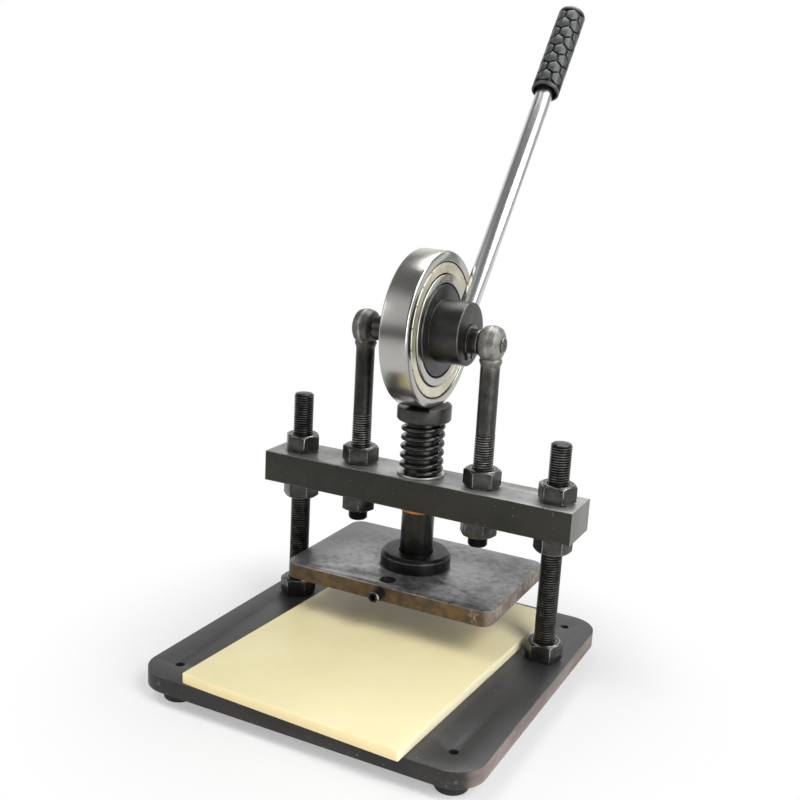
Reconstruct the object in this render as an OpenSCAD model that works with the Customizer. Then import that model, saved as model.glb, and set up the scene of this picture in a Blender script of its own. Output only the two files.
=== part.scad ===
// Hand lever die cutting machine: an eccentric ball bearing presses a sprung ram onto a cutting board.
// The origin lies on the bench under the middle of the base plate, +Z is up, +Y is the back.

/* [Base] */
// Width of the base plate
base_w = 275; // [264:1:320]
// Depth of the base plate
base_d = 275; // [262:1:320]
// Thickness of the base plate
base_t = 13; // [8:0.5:20]
// Radius of the base plate's corners
base_corner_r = 24; // [6:1:32]
// Distance of the bench bolt holes from the base plate's left and right edges
bench_inset_x = 24; // [18:0.5:30]
// Distance of the bench bolt holes from the base plate's front and back edges
bench_inset_y = 23.5; // [18:0.5:30]
// Diameter of the bench bolt holes
bench_hole_d = 7; // [5:0.5:9]
// Diameter of a rubber foot
foot_d = 24; // [18:1:32]
// Height of a rubber foot
foot_h = 13; // [6:0.5:20]

/* [Columns and beam] */
// Thread diameter of the columns and the eye bolts
thread_d = 16; // [15.5:0.5:18]
// Distance of the left column from the middle
column_left_x = 113; // [110:0.5:118]
// Distance of the right column from the middle
column_right_x = 116.5; // [112:0.5:118]
// Distance of the columns, the shaft and the ram behind the middle
column_y = 51; // [44:0.5:56]
// Height of the left column above the base plate
column_left_h = 180; // [165:0.5:190]
// Height of the right column above the base plate
column_right_h = 176.5; // [165:0.5:190]
// Length of the crossbeam
beam_l = 273; // [264:1:300]
// Width of the crossbeam
beam_w = 43; // [40:0.5:50]
// Height of the crossbeam's section
beam_h = 26; // [20:0.5:30]
// Clear height under the crossbeam, from the base plate
beam_clear = 104.3; // [100:0.1:112]
// Width across the flats of a nut
nut_flats = 26.5; // [24:0.5:27]
// Height of a nut
nut_h = 14.8; // [10:0.1:16]

/* [Eye bolts and shaft] */
// Spacing of the eye bolts
eye_pitch = 110; // [106:1:120]
// Sideways place of the middle between the eye bolts
eye_shift = -1.2; // [-3:0.1:3]
// Diameter of the round eye
eye_d = 29; // [27:0.5:32]
// Width of the eye between its flat sides
eye_w = 18; // [14:0.5:19]
// Height of the shaft axis above the base plate
shaft_h = 244.7; // [242:0.1:258]
// Length of thread above the crossbeam on an eye bolt
eye_thread_up = 43; // [30:0.5:55]
// Length of thread that shows under an eye bolt's lower nut
eye_thread_end = 9; // [4:0.5:12]
// Diameter of the plain shank of an eye bolt
eye_shank_d = 15.4; // [13:0.1:15.5]
// Diameter of the cam shaft between the eyes
shaft_d = 20; // [16:0.5:21]
// Diameter of the shaft's journals in the eyes
journal_d = 12; // [10:0.5:14]
// Length of shaft that stands out of each eye
shaft_stand_out = 1.5; // [0.5:0.5:4]
// Width across a retaining ring
ring_d = 28; // [26:0.5:30]
// Thickness of a retaining ring
ring_t = 1.2; // [1:0.1:2]

/* [Eccentric hub and lever] */
// Distance between the shaft axis and the hub axis
eccentricity = 5.5; // [4:0.1:6]
// Angle by which the hub axis leans to the front at rest
eccentric_angle = 15; // [10:1:20]
// Diameter of the boss that holds the lever
boss_d = 50; // [46:0.5:56]
// Length of the boss beside the bearing
boss_l = 24; // [20:0.5:27]
// Diameter of the lever rod
lever_d = 15; // [11:0.5:16]
// Angle by which the lever leans to the back at rest
lever_angle = 38.2; // [20:0.1:45]
// Reach of the lever's end from the hub axis
lever_reach = 329; // [260:1:400]
// Depth of the lever's seat in the boss
lever_seat = 13; // [8:0.5:13]
// Length of the grip
grip_l = 89; // [70:1:130]
// Diameter of the grip
grip_d = 24; // [22:0.5:30]
// Depth of the hollow lip at the grip's lower end
grip_lip = 7; // [3:0.5:12]
// Thickness of rubber over the lever's end
grip_end_t = 5; // [3:0.5:8]

/* [Bearing] */
// Bore of the bearing
bearing_bore = 73; // [70:1:74]
// Outside diameter of the bearing
bearing_d = 125; // [122:0.5:126]
// Width of the bearing
bearing_w = 24; // [23:0.5:26]
// Diameter of a ball
ball_d = 17; // [15:0.5:17.5]
// Number of balls
ball_count = 11; // [7:1:11]
// Thickness of the inner ring at its shoulders
inner_ring_t = 7.5; // [7:0.1:8]
// Thickness of the outer ring around a shield
outer_ring_t = 8.5; // [8:0.1:9.5]
// Thickness of a shield
shield_t = 0.8; // [0.5:0.1:1]
// Depth of a shield behind the bearing's face
shield_depth = 0.8; // [0.5:0.1:1]

/* [Ram] */
// Diameter of the ram shaft
ram_d = 27; // [20:0.5:27]
// Diameter of the ram cap
cap_d = 44; // [40:0.5:48]
// Height of the ram cap up to the face that the bearing rolls on
cap_h = 11.5; // [10:0.5:14]
// Height of the wall that stands beside the bearing on the ram cap
cap_wall = 2.4; // [1:0.1:5]
// Thickness of metal over the ram shaft in the cap
cap_top_t = 4; // [2.5:0.5:6]
// Diameter of the ram flange
flange_d = 58; // [54:0.5:64]
// Height of the ram flange
flange_h = 12.5; // [9:0.5:14]
// Outside diameter of the bushing
bushing_d = 29.5; // [29.5:0.5:33]
// Length of bushing that shows under the crossbeam
bushing_end = 4.8; // [0.5:0.1:7]
// Diameter of the spring washer
washer_d = 38.5; // [37:0.5:42]
// Thickness of the spring washer
washer_t = 2; // [1.5:0.1:3]
// Outside diameter of the return spring
spring_d = 36; // [35.6:0.1:37]
// Wire diameter of the return spring
spring_wire = 4.2; // [3:0.1:4.3]
// Number of curls of the return spring
spring_curls = 5.75; // [4:0.25:6]

/* [Press plate and board] */
// Width of the press plate
plate_w = 181; // [150:1:186]
// Depth of the press plate
plate_d = 121; // [104:1:125]
// Thickness of the press plate
plate_t = 12.8; // [11:0.1:15]
// Radius of the press plate's corners
plate_corner_r = 10; // [4:1:20]
// Distance from the ram axis to the press plate's middle, to the back
plate_offset = 2.8; // [0:0.1:5]
// Clear height under the press plate at rest, from the base plate
plate_clear = 39.6; // [35:0.1:44]
// Sideways place of the die hole and its clamp screw
die_x = -2.5; // [-4:0.5:4]
// Diameter of the die hole
die_hole_d = 12.4; // [10:0.2:13]
// Distance of the die hole from the press plate's front edge
die_hole_in = 13.6; // [12:0.2:15]
// Diameter of the die clamp screw
clamp_d = 10; // [8:0.5:10.5]
// Length of the die clamp screw
clamp_l = 18; // [16:0.5:20]
// Length of clamp screw that stands out of the press plate
clamp_out = 11; // [9:0.5:12]
// Diameter of a plate screw
plate_screw_d = 6; // [4:0.5:6]
// Diameter of a plate screw's head
plate_screw_head_d = 12; // [9:0.5:12]
// Pitch circle of the plate screws
plate_screw_circle = 42; // [38.5:0.5:44]
// Depth of a plate screw in the flange
plate_screw_in = 7; // [5:0.5:7.5]
// Width of the cutting board
board_w = 182; // [150:1:188]
// Length of the cutting board
board_l = 262; // [220:1:280]
// Thickness of the cutting board
board_t = 8; // [5:0.5:12]
// Sideways place of the cutting board's middle
board_x = 2.5; // [0:0.5:3.5]
// Place of the cutting board's middle in front of the base's middle
board_front = 10; // [0:0.5:12]
// Angle by which the cutting board lies askew
board_skew = 2.6; // [0:0.1:3]
// Radius of the cutting board's corners
board_corner_r = 1.5; // [1:0.5:12]

/* [Clearances] */
// Radial play of a thread in its nut or hole
thread_play = 0.1; // [0.05:0.01:0.15]
// Radial play of a running fit
running_play = 0.05; // [0.03:0.01:0.09]
// Gap between the ram cap and the bearing at rest
cap_play = 0.3; // [0.2:0.05:0.5]
// Gap between the ram cap's wall and the bearing's side
wall_play = 0.5; // [0.3:0.05:1]
// Play between the balls and the parts around them
ball_play = 0.35; // [0.3:0.05:0.45]
// Axial play between a retaining ring and the hub
ring_play = 0.2; // [0.1:0.05:0.4]
// Gap between a shield and the inner ring
shield_play = 0.8; // [0.4:0.1:1.2]

/* [Hidden] */
$fn = 64;

cut = 1;
edge = 0.6;
base_top = foot_h + base_t;
bench_pitch_x = base_w - 2 * bench_inset_x;
bench_pitch_y = base_d - 2 * bench_inset_y;
beam_z = base_top + beam_clear;
beam_top = beam_z + beam_h;
shaft_z = base_top + shaft_h;
hub_y = column_y - eccentricity * sin(eccentric_angle);
hub_z = shaft_z + eccentricity * cos(eccentric_angle);
column_places = [-column_left_x, column_right_x];
eye_places = [eye_shift - eye_pitch / 2, eye_shift + eye_pitch / 2];
thread_hole_d = thread_d + 2 * thread_play;
nut_corners = nut_flats / cos(30);
nut_face_d = nut_flats - 1;
nut_chamfer_w = (nut_corners - nut_face_d) / 2 + cut;
nut_chamfer = nut_chamfer_w * tan(30);

eye_inner_x = eye_pitch / 2 - eye_w / 2;
eye_outer_x = eye_pitch / 2 + eye_w / 2;
eye_bottom = beam_z - nut_h - eye_thread_end;
eye_thread_top = beam_top + eye_thread_up;
eye_neck_d = eye_shank_d + 3;
eye_neck_l = 8;
shaft_end_x = eye_outer_x + shaft_stand_out;
shoulder_x = eye_inner_x - thread_play;
neck_z = shaft_z - shaft_d / 2 - 2 * edge;
centre_d = 4;
centre_tip_d = 0.5;
ring_groove_depth = 0.7;
ring_lug_d = 5;
ring_lug_hole_d = 2;
ring_gap = 4;

hub_bore_d = shaft_d + 2 * running_play;
boss_face_x = bearing_w / 2 + boss_l;
lever_share = 0.61;
lever_x = bearing_w / 2 + boss_l * lever_share;
lever_start = boss_d / 2 - lever_seat;
lever_end = lever_reach - grip_end_t;
grip_start = lever_reach - grip_l;
lip_gap = 2.4;
grip_round = 4;

ball_circle = (bearing_bore + bearing_d) / 2;
groove_r = ball_d / 2 + ball_play;
cage_band = 4.5;
cage_in_d = ball_circle - cage_band;
cage_out_d = ball_circle + cage_band;
cage_wall = 0.9;
cage_w = 2 * groove_r + 2 * cage_wall;
ring_chamfer = 1.2;
shield_seat = 1.2;
inner_land_d = bearing_bore + 2 * inner_ring_t;
shield_d = bearing_d - 2 * outer_ring_t;
shield_hole_d = inner_land_d + 2 * shield_play;
outer_land_d = shield_d - 2 * shield_seat;

cap_top = hub_z - bearing_d / 2 - cap_play;
cap_z = cap_top - cap_h;
cap_edge = 2.2;
flange_edge = 2.8;
plate_z = base_top + plate_clear;
plate_top = plate_z + plate_t;
plate_y = column_y + plate_offset;
plate_front = plate_y - plate_d / 2;
die_y = plate_front + die_hole_in;
clamp_z = plate_z + plate_t / 2;
clamp_socket_r = clamp_d * 0.29;
clamp_socket_depth = 4.5;
plate_screw_count = 4;
spring_z = beam_top + washer_t;
spring_top = cap_z;
washer_hole_d = ram_d + 1;

spring_sides = 6;
rings_per_curl = 16;
spring_seat = 0.05;
spring_r = (spring_d - spring_wire) / 2;
spring_low = spring_z + spring_wire / 2 + spring_seat;
spring_rise = spring_top - spring_z - spring_wire - 2 * spring_seat;
spring_steps = round(spring_curls * rings_per_curl);
spring_turn = 360 * spring_curls;
end_share = 0.75 / spring_curls;
end_pitch = spring_wire + 0.6;
end_rise = end_pitch * end_share * spring_curls;

// Height along the spring: closed curls at both ends, open curls between them.
function spring_climb(s) =
    s < end_share ? end_rise * s / end_share
    : s > 1 - end_share ? spring_rise - end_rise * (1 - s) / end_share
    : end_rise + (spring_rise - 2 * end_rise) * (s - end_share) / (1 - 2 * end_share);
function spring_point(s) = [
    spring_r * cos(spring_turn * s),
    column_y + spring_r * sin(spring_turn * s),
    spring_low + spring_climb(s)];
spring_curl_path = [for (i = [0:spring_steps]) spring_point(i / spring_steps)];

// Straight stretches, one wire diameter long, run on from the first and the last curl.
function run_on(angle, way) = way * spring_wire * [-sin(angle), cos(angle), 0];
spring_path = concat(
    [spring_curl_path[0] + run_on(0, -1)],
    spring_curl_path,
    [spring_curl_path[spring_steps] + run_on(spring_turn, 1)]);
function spring_angle(i) = spring_turn * min(max(i - 1, 0), spring_steps) / spring_steps;
spring_points = [for (i = [0:len(spring_path) - 1], k = [0:spring_sides - 1])
    let (a = spring_angle(i), b = 360 * (k + 0.5) / spring_sides, out = spring_wire / 2 * cos(b))
    spring_path[i] + [out * cos(a), out * sin(a), spring_wire / 2 * sin(b)]];
spring_rings = len(spring_path);
last_ring = spring_rings - 1;
function ring_point(i, k) = i * spring_sides + k % spring_sides;
spring_faces = concat(
    [for (k = [1:spring_sides - 2]) [0, k, k + 1]],
    [for (i = [0:spring_rings - 2], k = [0:spring_sides - 1])
        [ring_point(i, k), ring_point(i + 1, k), ring_point(i + 1, k + 1)]],
    [for (i = [0:spring_rings - 2], k = [0:spring_sides - 1])
        [ring_point(i, k), ring_point(i + 1, k + 1), ring_point(i, k + 1)]],
    [for (k = [1:spring_sides - 2])
        [ring_point(last_ring, 0), ring_point(last_ring, k + 1), ring_point(last_ring, k)]]);
spring_gap = min([for (i = [0:spring_rings - 1], j = [0:spring_rings - 1])
    if (j - i > rings_per_curl / 2) norm(spring_path[i] - spring_path[j])]) - spring_wire;
echo(spring_gap_to_itself = spring_gap);

// A flat plate with rounded corners, its middle at the origin and its underside at height zero.
module rounded_plate(w, d, t, r) {
    linear_extrude(height = t) {
        square([w - 2 * r, d], center = true);
        square([w, d - 2 * r], center = true);
        for (x = [-1, 1], y = [-1, 1])
            translate([x * (w / 2 - r), y * (d / 2 - r)]) circle(r);
    }
}

// A round bar along +Z with small chamfers at both ends.
module bar(d, l, chamfer = edge) {
    rotate_extrude()
        polygon([[0, 0], [d / 2 - chamfer, 0], [d / 2, chamfer], [d / 2, l - chamfer],
            [d / 2 - chamfer, l], [0, l]]);
}

// A hexagon nut with chamfered corners and a plain hole of the thread's diameter.
module hex_nut(turn) {
    face = nut_face_d / 2;
    rim = face + nut_chamfer_w;
    difference() {
        intersection() {
            rotate(turn) cylinder(d = nut_corners, h = nut_h, $fn = 6);
            rotate_extrude()
                polygon([[0, 0], [face, 0], [rim, nut_chamfer], [rim, nut_h - nut_chamfer],
                    [face, nut_h], [0, nut_h]]);
        }
        translate([0, 0, -cut]) cylinder(d = thread_hole_d, h = nut_h + 2 * cut);
    }
}

// A pair of nuts on two rods at one height, each turned its own way.
module nut_pair(places, z, turns) {
    for (i = [0, 1])
        translate([places[i], column_y, z]) hex_nut(turns[i]);
}

// Places its children on the X axis of the shaft or the hub, with their +Z along +X.
module along_x(y, z) {
    translate([0, y, z]) rotate([0, 90, 0]) children();
}

// Places its children on the lever's axis, with their +Z towards the grip.
module along_lever() {
    translate([lever_x, hub_y, hub_z]) rotate([-lever_angle, 0, 0]) children();
}

module base_plate() {
    color([0.27, 0.27, 0.26]) difference() {
        translate([0, 0, foot_h]) rounded_plate(base_w, base_d, base_t, base_corner_r);
        for (x = [-1, 1], y = [-1, 1])
            translate([x * bench_pitch_x / 2, y * bench_pitch_y / 2, foot_h - cut])
                cylinder(d = bench_hole_d, h = base_t + 2 * cut);
        for (x = column_places)
            translate([x, column_y, foot_h - cut]) cylinder(d = thread_hole_d, h = base_t + 2 * cut);
    }
}

module rubber_feet() {
    color([0.06, 0.06, 0.06])
        for (x = [-1, 1], y = [-1, 1])
            translate([x * bench_pitch_x / 2, y * bench_pitch_y / 2, 0])
                difference() {
                    bar(foot_d, foot_h, 1.5 * edge);
                    translate([0, 0, -cut]) cylinder(d = bench_hole_d, h = foot_h + 2 * cut);
                }
}

module column(x, h) {
    color([0.2, 0.2, 0.2])
        translate([x, column_y, foot_h]) bar(thread_d, base_t + h, 2 * edge);
}

module column_left() { column(-column_left_x, column_left_h); }

module column_right() { column(column_right_x, column_right_h); }

module base_nuts() {
    color([0.16, 0.16, 0.16]) nut_pair(column_places, base_top, [25.5, 8.5]);
}

module beam_lower_nuts() {
    color([0.16, 0.16, 0.16]) nut_pair(column_places, beam_z - nut_h, [19.5, 16]);
}

module beam_upper_nuts() {
    color([0.16, 0.16, 0.16]) nut_pair(column_places, beam_top, [6, 5]);
}

module eye_bolt_upper_nuts() {
    color([0.16, 0.16, 0.16]) nut_pair(eye_places, beam_top, [20, 23]);
}

module eye_bolt_lower_nuts() {
    color([0.16, 0.16, 0.16]) nut_pair(eye_places, beam_z - nut_h, [58, 7]);
}

module crossbeam() {
    w = beam_w / 2;
    color([0.2, 0.2, 0.18]) difference() {
        translate([-beam_l / 2, column_y, beam_z]) rotate([90, 0, 90])
            linear_extrude(height = beam_l)
                polygon([[edge - w, 0], [w - edge, 0], [w, edge], [w, beam_h - edge], [w - edge, beam_h],
                    [edge - w, beam_h], [-w, beam_h - edge], [-w, edge]]);
        for (x = concat(column_places, eye_places))
            translate([x, column_y, beam_z - cut]) cylinder(d = thread_hole_d, h = beam_h + 2 * cut);
        translate([0, column_y, beam_z - cut])
            cylinder(d = bushing_d + 2 * running_play, h = beam_h + 2 * cut);
    }
}

module ram_bushing() {
    color([0.72, 0.45, 0.25]) translate([0, column_y, beam_z - bushing_end])
        difference() {
            bar(bushing_d, beam_h + bushing_end);
            translate([0, 0, -cut])
                cylinder(d = ram_d + 2 * running_play, h = beam_h + bushing_end + 2 * cut);
        }
}

module eye_bolt(x) {
    thread_l = eye_thread_top - eye_bottom;
    color([0.22, 0.22, 0.22]) difference() {
        union() {
            translate([x, column_y, eye_bottom]) bar(thread_d, thread_l, 2 * edge);
            translate([x, column_y, eye_bottom]) cylinder(d = eye_shank_d, h = neck_z - eye_bottom);
            translate([x, column_y, neck_z - eye_neck_l])
                cylinder(d1 = eye_shank_d, d2 = eye_neck_d, h = eye_neck_l);
            intersection() {
                translate([x, column_y, shaft_z]) sphere(d = eye_d);
                translate([x, column_y, shaft_z]) cube([eye_w, eye_d, eye_d], center = true);
            }
        }
        along_x(column_y, shaft_z) translate([0, 0, x - eye_d])
            cylinder(d = journal_d + 2 * running_play, h = 2 * eye_d);
    }
}

module eye_bolt_left() { eye_bolt(eye_places[0]); }

module eye_bolt_right() { eye_bolt(eye_places[1]); }

// A shallow groove round the shaft that a retaining ring sits in.
module ring_groove(x) {
    translate([0, 0, x]) difference() {
        cylinder(d = shaft_d + 2 * cut, h = ring_t + 2 * running_play);
        translate([0, 0, -cut])
            cylinder(d = shaft_d - 2 * ring_groove_depth, h = ring_t + 2 * running_play + 2 * cut);
    }
}

module cam_shaft() {
    color([0.3, 0.3, 0.3]) along_x(column_y, shaft_z) difference() {
        union() {
            translate([0, 0, eye_shift - shaft_end_x]) bar(journal_d, 2 * shaft_end_x);
            translate([0, 0, eye_shift - shoulder_x]) bar(shaft_d, 2 * shoulder_x);
        }
        ring_groove(boss_face_x + ring_play - running_play);
        ring_groove(-bearing_w / 2 - ring_play - ring_t - running_play);
        for (side = [-1, 1])
            translate([0, 0, eye_shift + side * shaft_end_x]) rotate([side * 90 + 90, 0, 0])
                translate([0, 0, -edge]) cylinder(d1 = centre_d, d2 = centre_tip_d, h = 2 * edge);
    }
}

// A retaining ring, open at the bottom, with two drilled lugs beside its gap.
module retaining_ring(x) {
    lug_r = ring_d / 2 - ring_lug_d / 2 + 1.5;
    lug_angle = asin((ring_gap + ring_lug_d) / 2 / lug_r);
    along_x(column_y, shaft_z) translate([0, 0, x]) difference() {
        union() {
            cylinder(d = ring_d - 2, h = ring_t);
            for (side = [-1, 1])
                rotate(side * lug_angle) translate([lug_r, 0, 0]) cylinder(d = ring_lug_d, h = ring_t);
        }
        translate([0, 0, -cut])
            cylinder(d = shaft_d - 2 * ring_groove_depth + 2 * running_play, h = ring_t + 2 * cut);
        translate([0, -ring_gap / 2, -cut]) cube([ring_d, ring_gap, ring_t + 2 * cut]);
        for (side = [-1, 1])
            rotate(side * lug_angle) translate([lug_r, 0, -cut])
                cylinder(d = ring_lug_hole_d, h = ring_t + 2 * cut);
    }
}

module retaining_rings() {
    color([0.45, 0.45, 0.45]) {
        retaining_ring(boss_face_x + ring_play);
        retaining_ring(-bearing_w / 2 - ring_play - ring_t);
    }
}

module eccentric_hub() {
    color([0.1, 0.1, 0.1]) difference() {
        along_x(hub_y, hub_z) union() {
            translate([0, 0, -bearing_w / 2]) bar(bearing_bore - 2 * running_play, bearing_w);
            translate([0, 0, bearing_w / 2 - edge]) bar(boss_d, boss_l + edge);
        }
        along_x(column_y, shaft_z) translate([0, 0, -bearing_w])
            cylinder(d = hub_bore_d, h = bearing_w + boss_face_x + cut);
        along_lever() translate([0, 0, lever_start])
            cylinder(d = lever_d + 2 * running_play, h = boss_d);
    }
}

module lever_rod() {
    color([0.75, 0.75, 0.75])
        along_lever() translate([0, 0, lever_start]) bar(lever_d, lever_end - lever_start);
}

module lever_grip() {
    bore_r = lever_d / 2 + running_play;
    color([0.08, 0.08, 0.08]) along_lever() translate([0, 0, grip_start]) difference() {
        rotate_extrude() union() {
            polygon([[0, 0], [grip_d / 2 - edge, 0], [grip_d / 2, edge],
                [grip_d / 2, grip_l - grip_round], [grip_d / 2 - grip_round, grip_l], [0, grip_l]]);
            intersection() {
                translate([grip_d / 2 - grip_round, grip_l - grip_round]) circle(grip_round);
                translate([0, grip_l - grip_round]) square([grip_d / 2, grip_round]);
            }
        }
        translate([0, 0, -cut]) cylinder(r = bore_r, h = grip_l - grip_end_t + running_play + cut);
        translate([0, 0, -cut]) cylinder(r = bore_r + lip_gap, h = grip_lip + cut);
    }
}

// A bearing ring: a turned band with a groove for the balls.
module grooved_ring(in_d, out_d) {
    rotate_extrude() difference() {
        translate([in_d / 2, -bearing_w / 2]) square([(out_d - in_d) / 2, bearing_w]);
        translate([ball_circle / 2, 0]) circle(groove_r);
    }
}

module bearing_inner_ring() {
    color([0.62, 0.62, 0.62]) along_x(hub_y, hub_z) intersection() {
        grooved_ring(bearing_bore, inner_land_d);
        difference() {
            cylinder(d = bearing_d, h = bearing_w, center = true);
            for (side = [0, 180])
                rotate([side, 0, 0]) translate([0, 0, bearing_w / 2 - ring_chamfer])
                    cylinder(d1 = bearing_bore, d2 = bearing_bore + 2 * ring_chamfer, h = ring_chamfer);
        }
    }
}

module bearing_outer_ring() {
    w = bearing_w / 2;
    seat = w - shield_depth - shield_t;
    color([0.66, 0.66, 0.66]) along_x(hub_y, hub_z) rotate_extrude() difference() {
        polygon([[outer_land_d / 2, -seat], [shield_d / 2, -seat], [shield_d / 2, -w],
            [bearing_d / 2 - ring_chamfer, -w], [bearing_d / 2, ring_chamfer - w],
            [bearing_d / 2, w - ring_chamfer], [bearing_d / 2 - ring_chamfer, w],
            [shield_d / 2, w], [shield_d / 2, seat], [outer_land_d / 2, seat]]);
        translate([ball_circle / 2, 0]) circle(groove_r);
    }
}

// A thin shield, seated on the step in the outer ring.
module bearing_shield(side) {
    color([0.74, 0.72, 0.62]) along_x(hub_y, hub_z)
        translate([0, 0, side * (bearing_w / 2 - shield_depth - shield_t / 2)]) difference() {
            cylinder(d = shield_d - 2 * running_play, h = shield_t, center = true);
            cylinder(d = shield_hole_d, h = shield_t + cut, center = true);
        }
}

module bearing_shield_left() { bearing_shield(-1); }

module bearing_shield_right() { bearing_shield(1); }

// Places its children at each ball.
module at_balls() {
    along_x(hub_y, hub_z)
        for (i = [0:ball_count - 1])
            rotate(360 * i / ball_count) translate([ball_circle / 2, 0, 0]) children();
}

module bearing_balls() {
    color([0.7, 0.7, 0.7]) at_balls() sphere(d = ball_d);
}

module bearing_cage() {
    color([0.55, 0.5, 0.4]) difference() {
        along_x(hub_y, hub_z) difference() {
            cylinder(d = cage_out_d, h = cage_w, center = true);
            cylinder(d = cage_in_d, h = cage_w + cut, center = true);
        }
        at_balls() rotate([0, 90, 0]) cylinder(r = groove_r, h = ball_d, center = true);
    }
}

module ram_cap() {
    wall_x = bearing_w / 2 + wall_play;
    color([0.16, 0.16, 0.16]) translate([0, column_y, cap_z]) difference() {
        union() {
            bar(cap_d, cap_h, cap_edge);
            intersection() {
                bar(cap_d, cap_h + cap_wall, cap_edge);
                translate([wall_x, -cap_d / 2, 0]) cube([cap_d, cap_d, cap_h + cap_wall]);
            }
        }
        translate([0, 0, -cut]) cylinder(d = ram_d + 2 * running_play, h = cap_h - cap_top_t + cut);
    }
}

module ram_shaft() {
    color([0.12, 0.12, 0.12])
        translate([0, column_y, plate_top]) bar(ram_d, cap_top - cap_top_t - plate_top);
}

// Places its children at each plate screw.
module at_plate_screws() {
    for (i = [0:plate_screw_count - 1])
        translate([0, column_y, 0]) rotate(45 + 360 * i / plate_screw_count)
            translate([plate_screw_circle / 2, 0, 0]) children();
}

module ram_flange() {
    color([0.13, 0.13, 0.13]) difference() {
        translate([0, column_y, plate_top]) rotate_extrude()
            polygon([[0, 0], [flange_d / 2, 0], [flange_d / 2, flange_h - flange_edge],
                [flange_d / 2 - flange_edge, flange_h], [0, flange_h]]);
        translate([0, column_y, plate_top - cut])
            cylinder(d = ram_d + 2 * running_play, h = flange_h + 2 * cut);
        at_plate_screws() translate([0, 0, plate_top - cut])
            cylinder(d = plate_screw_d + 2 * thread_play, h = plate_screw_in + cut);
    }
}

module spring_washer() {
    color([0.6, 0.6, 0.6]) translate([0, column_y, beam_top]) difference() {
        bar(washer_d, washer_t, edge / 2);
        translate([0, 0, -cut]) cylinder(d = washer_hole_d, h = washer_t + 2 * cut);
    }
}

module return_spring() {
    color([0.15, 0.15, 0.15]) polyhedron(points = spring_points, faces = spring_faces);
}

// The conical head and the shank of a plate screw, grown by a play where it cuts its own hole.
module plate_screw_form(play) {
    head = plate_screw_head_d / 2 + play;
    shank = plate_screw_d / 2 + play;
    rotate_extrude()
        polygon([[0, 0], [head, 0], [shank, head - shank], [shank, plate_t + plate_screw_in - thread_play],
            [0, plate_t + plate_screw_in - thread_play]]);
}

module press_plate() {
    color([0.35, 0.35, 0.34]) difference() {
        translate([0, plate_y, plate_z]) rounded_plate(plate_w, plate_d, plate_t, plate_corner_r);
        translate([die_x, die_y, plate_z - cut]) cylinder(d = die_hole_d, h = plate_t + 2 * cut);
        translate([die_x, plate_front - cut, clamp_z]) rotate([-90, 0, 0])
            cylinder(d = clamp_d + 2 * thread_play, h = die_hole_in + cut);
        at_plate_screws() translate([0, 0, plate_z]) plate_screw_form(thread_play);
    }
}

module plate_screws() {
    socket_d = plate_screw_d * 0.75;
    color([0.16, 0.16, 0.16]) at_plate_screws() translate([0, 0, plate_z]) difference() {
        plate_screw_form(0);
        translate([0, 0, -cut]) cylinder(d = socket_d, h = plate_screw_d / 2 + cut, $fn = 6);
    }
}

module die_clamp_screw() {
    color([0.08, 0.08, 0.08])
        translate([die_x, plate_front - clamp_out, clamp_z]) rotate([-90, 0, 0]) difference() {
            bar(clamp_d, clamp_l, edge);
            translate([0, 0, -cut])
                cylinder(r = clamp_socket_r, h = clamp_socket_depth + cut, $fn = 6);
        }
}

module cutting_board() {
    color([0.96, 0.93, 0.77]) translate([board_x, -board_front, base_top]) rotate(-board_skew)
        rounded_plate(board_w, board_l, board_t, board_corner_r);
}

base_plate();
rubber_feet();
column_left();
column_right();
base_nuts();
beam_lower_nuts();
beam_upper_nuts();
crossbeam();
ram_bushing();
eye_bolt_left();
eye_bolt_right();
eye_bolt_upper_nuts();
eye_bolt_lower_nuts();
cam_shaft();
retaining_rings();
eccentric_hub();
lever_rod();
lever_grip();
bearing_inner_ring();
bearing_outer_ring();
bearing_shield_left();
bearing_shield_right();
bearing_balls();
bearing_cage();
ram_cap();
ram_shaft();
ram_flange();
spring_washer();
return_spring();
press_plate();
plate_screws();
die_clamp_screw();
cutting_board();
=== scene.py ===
# %% [markdown]
# # A hand lever die cutting machine
# The real machine is black steel on a heavy base plate. A lever turns an eccentric hub inside a large ball
# bearing, the bearing rolls on a sprung ram, and the ram presses a plate down onto a cutting board.
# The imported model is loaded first. It is the fixed frame: every new piece takes its place from it, and
# nothing in it is moved or reshaped.

# %% Load the frame
import math
import bpy
from mathutils import Matrix, Vector


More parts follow.
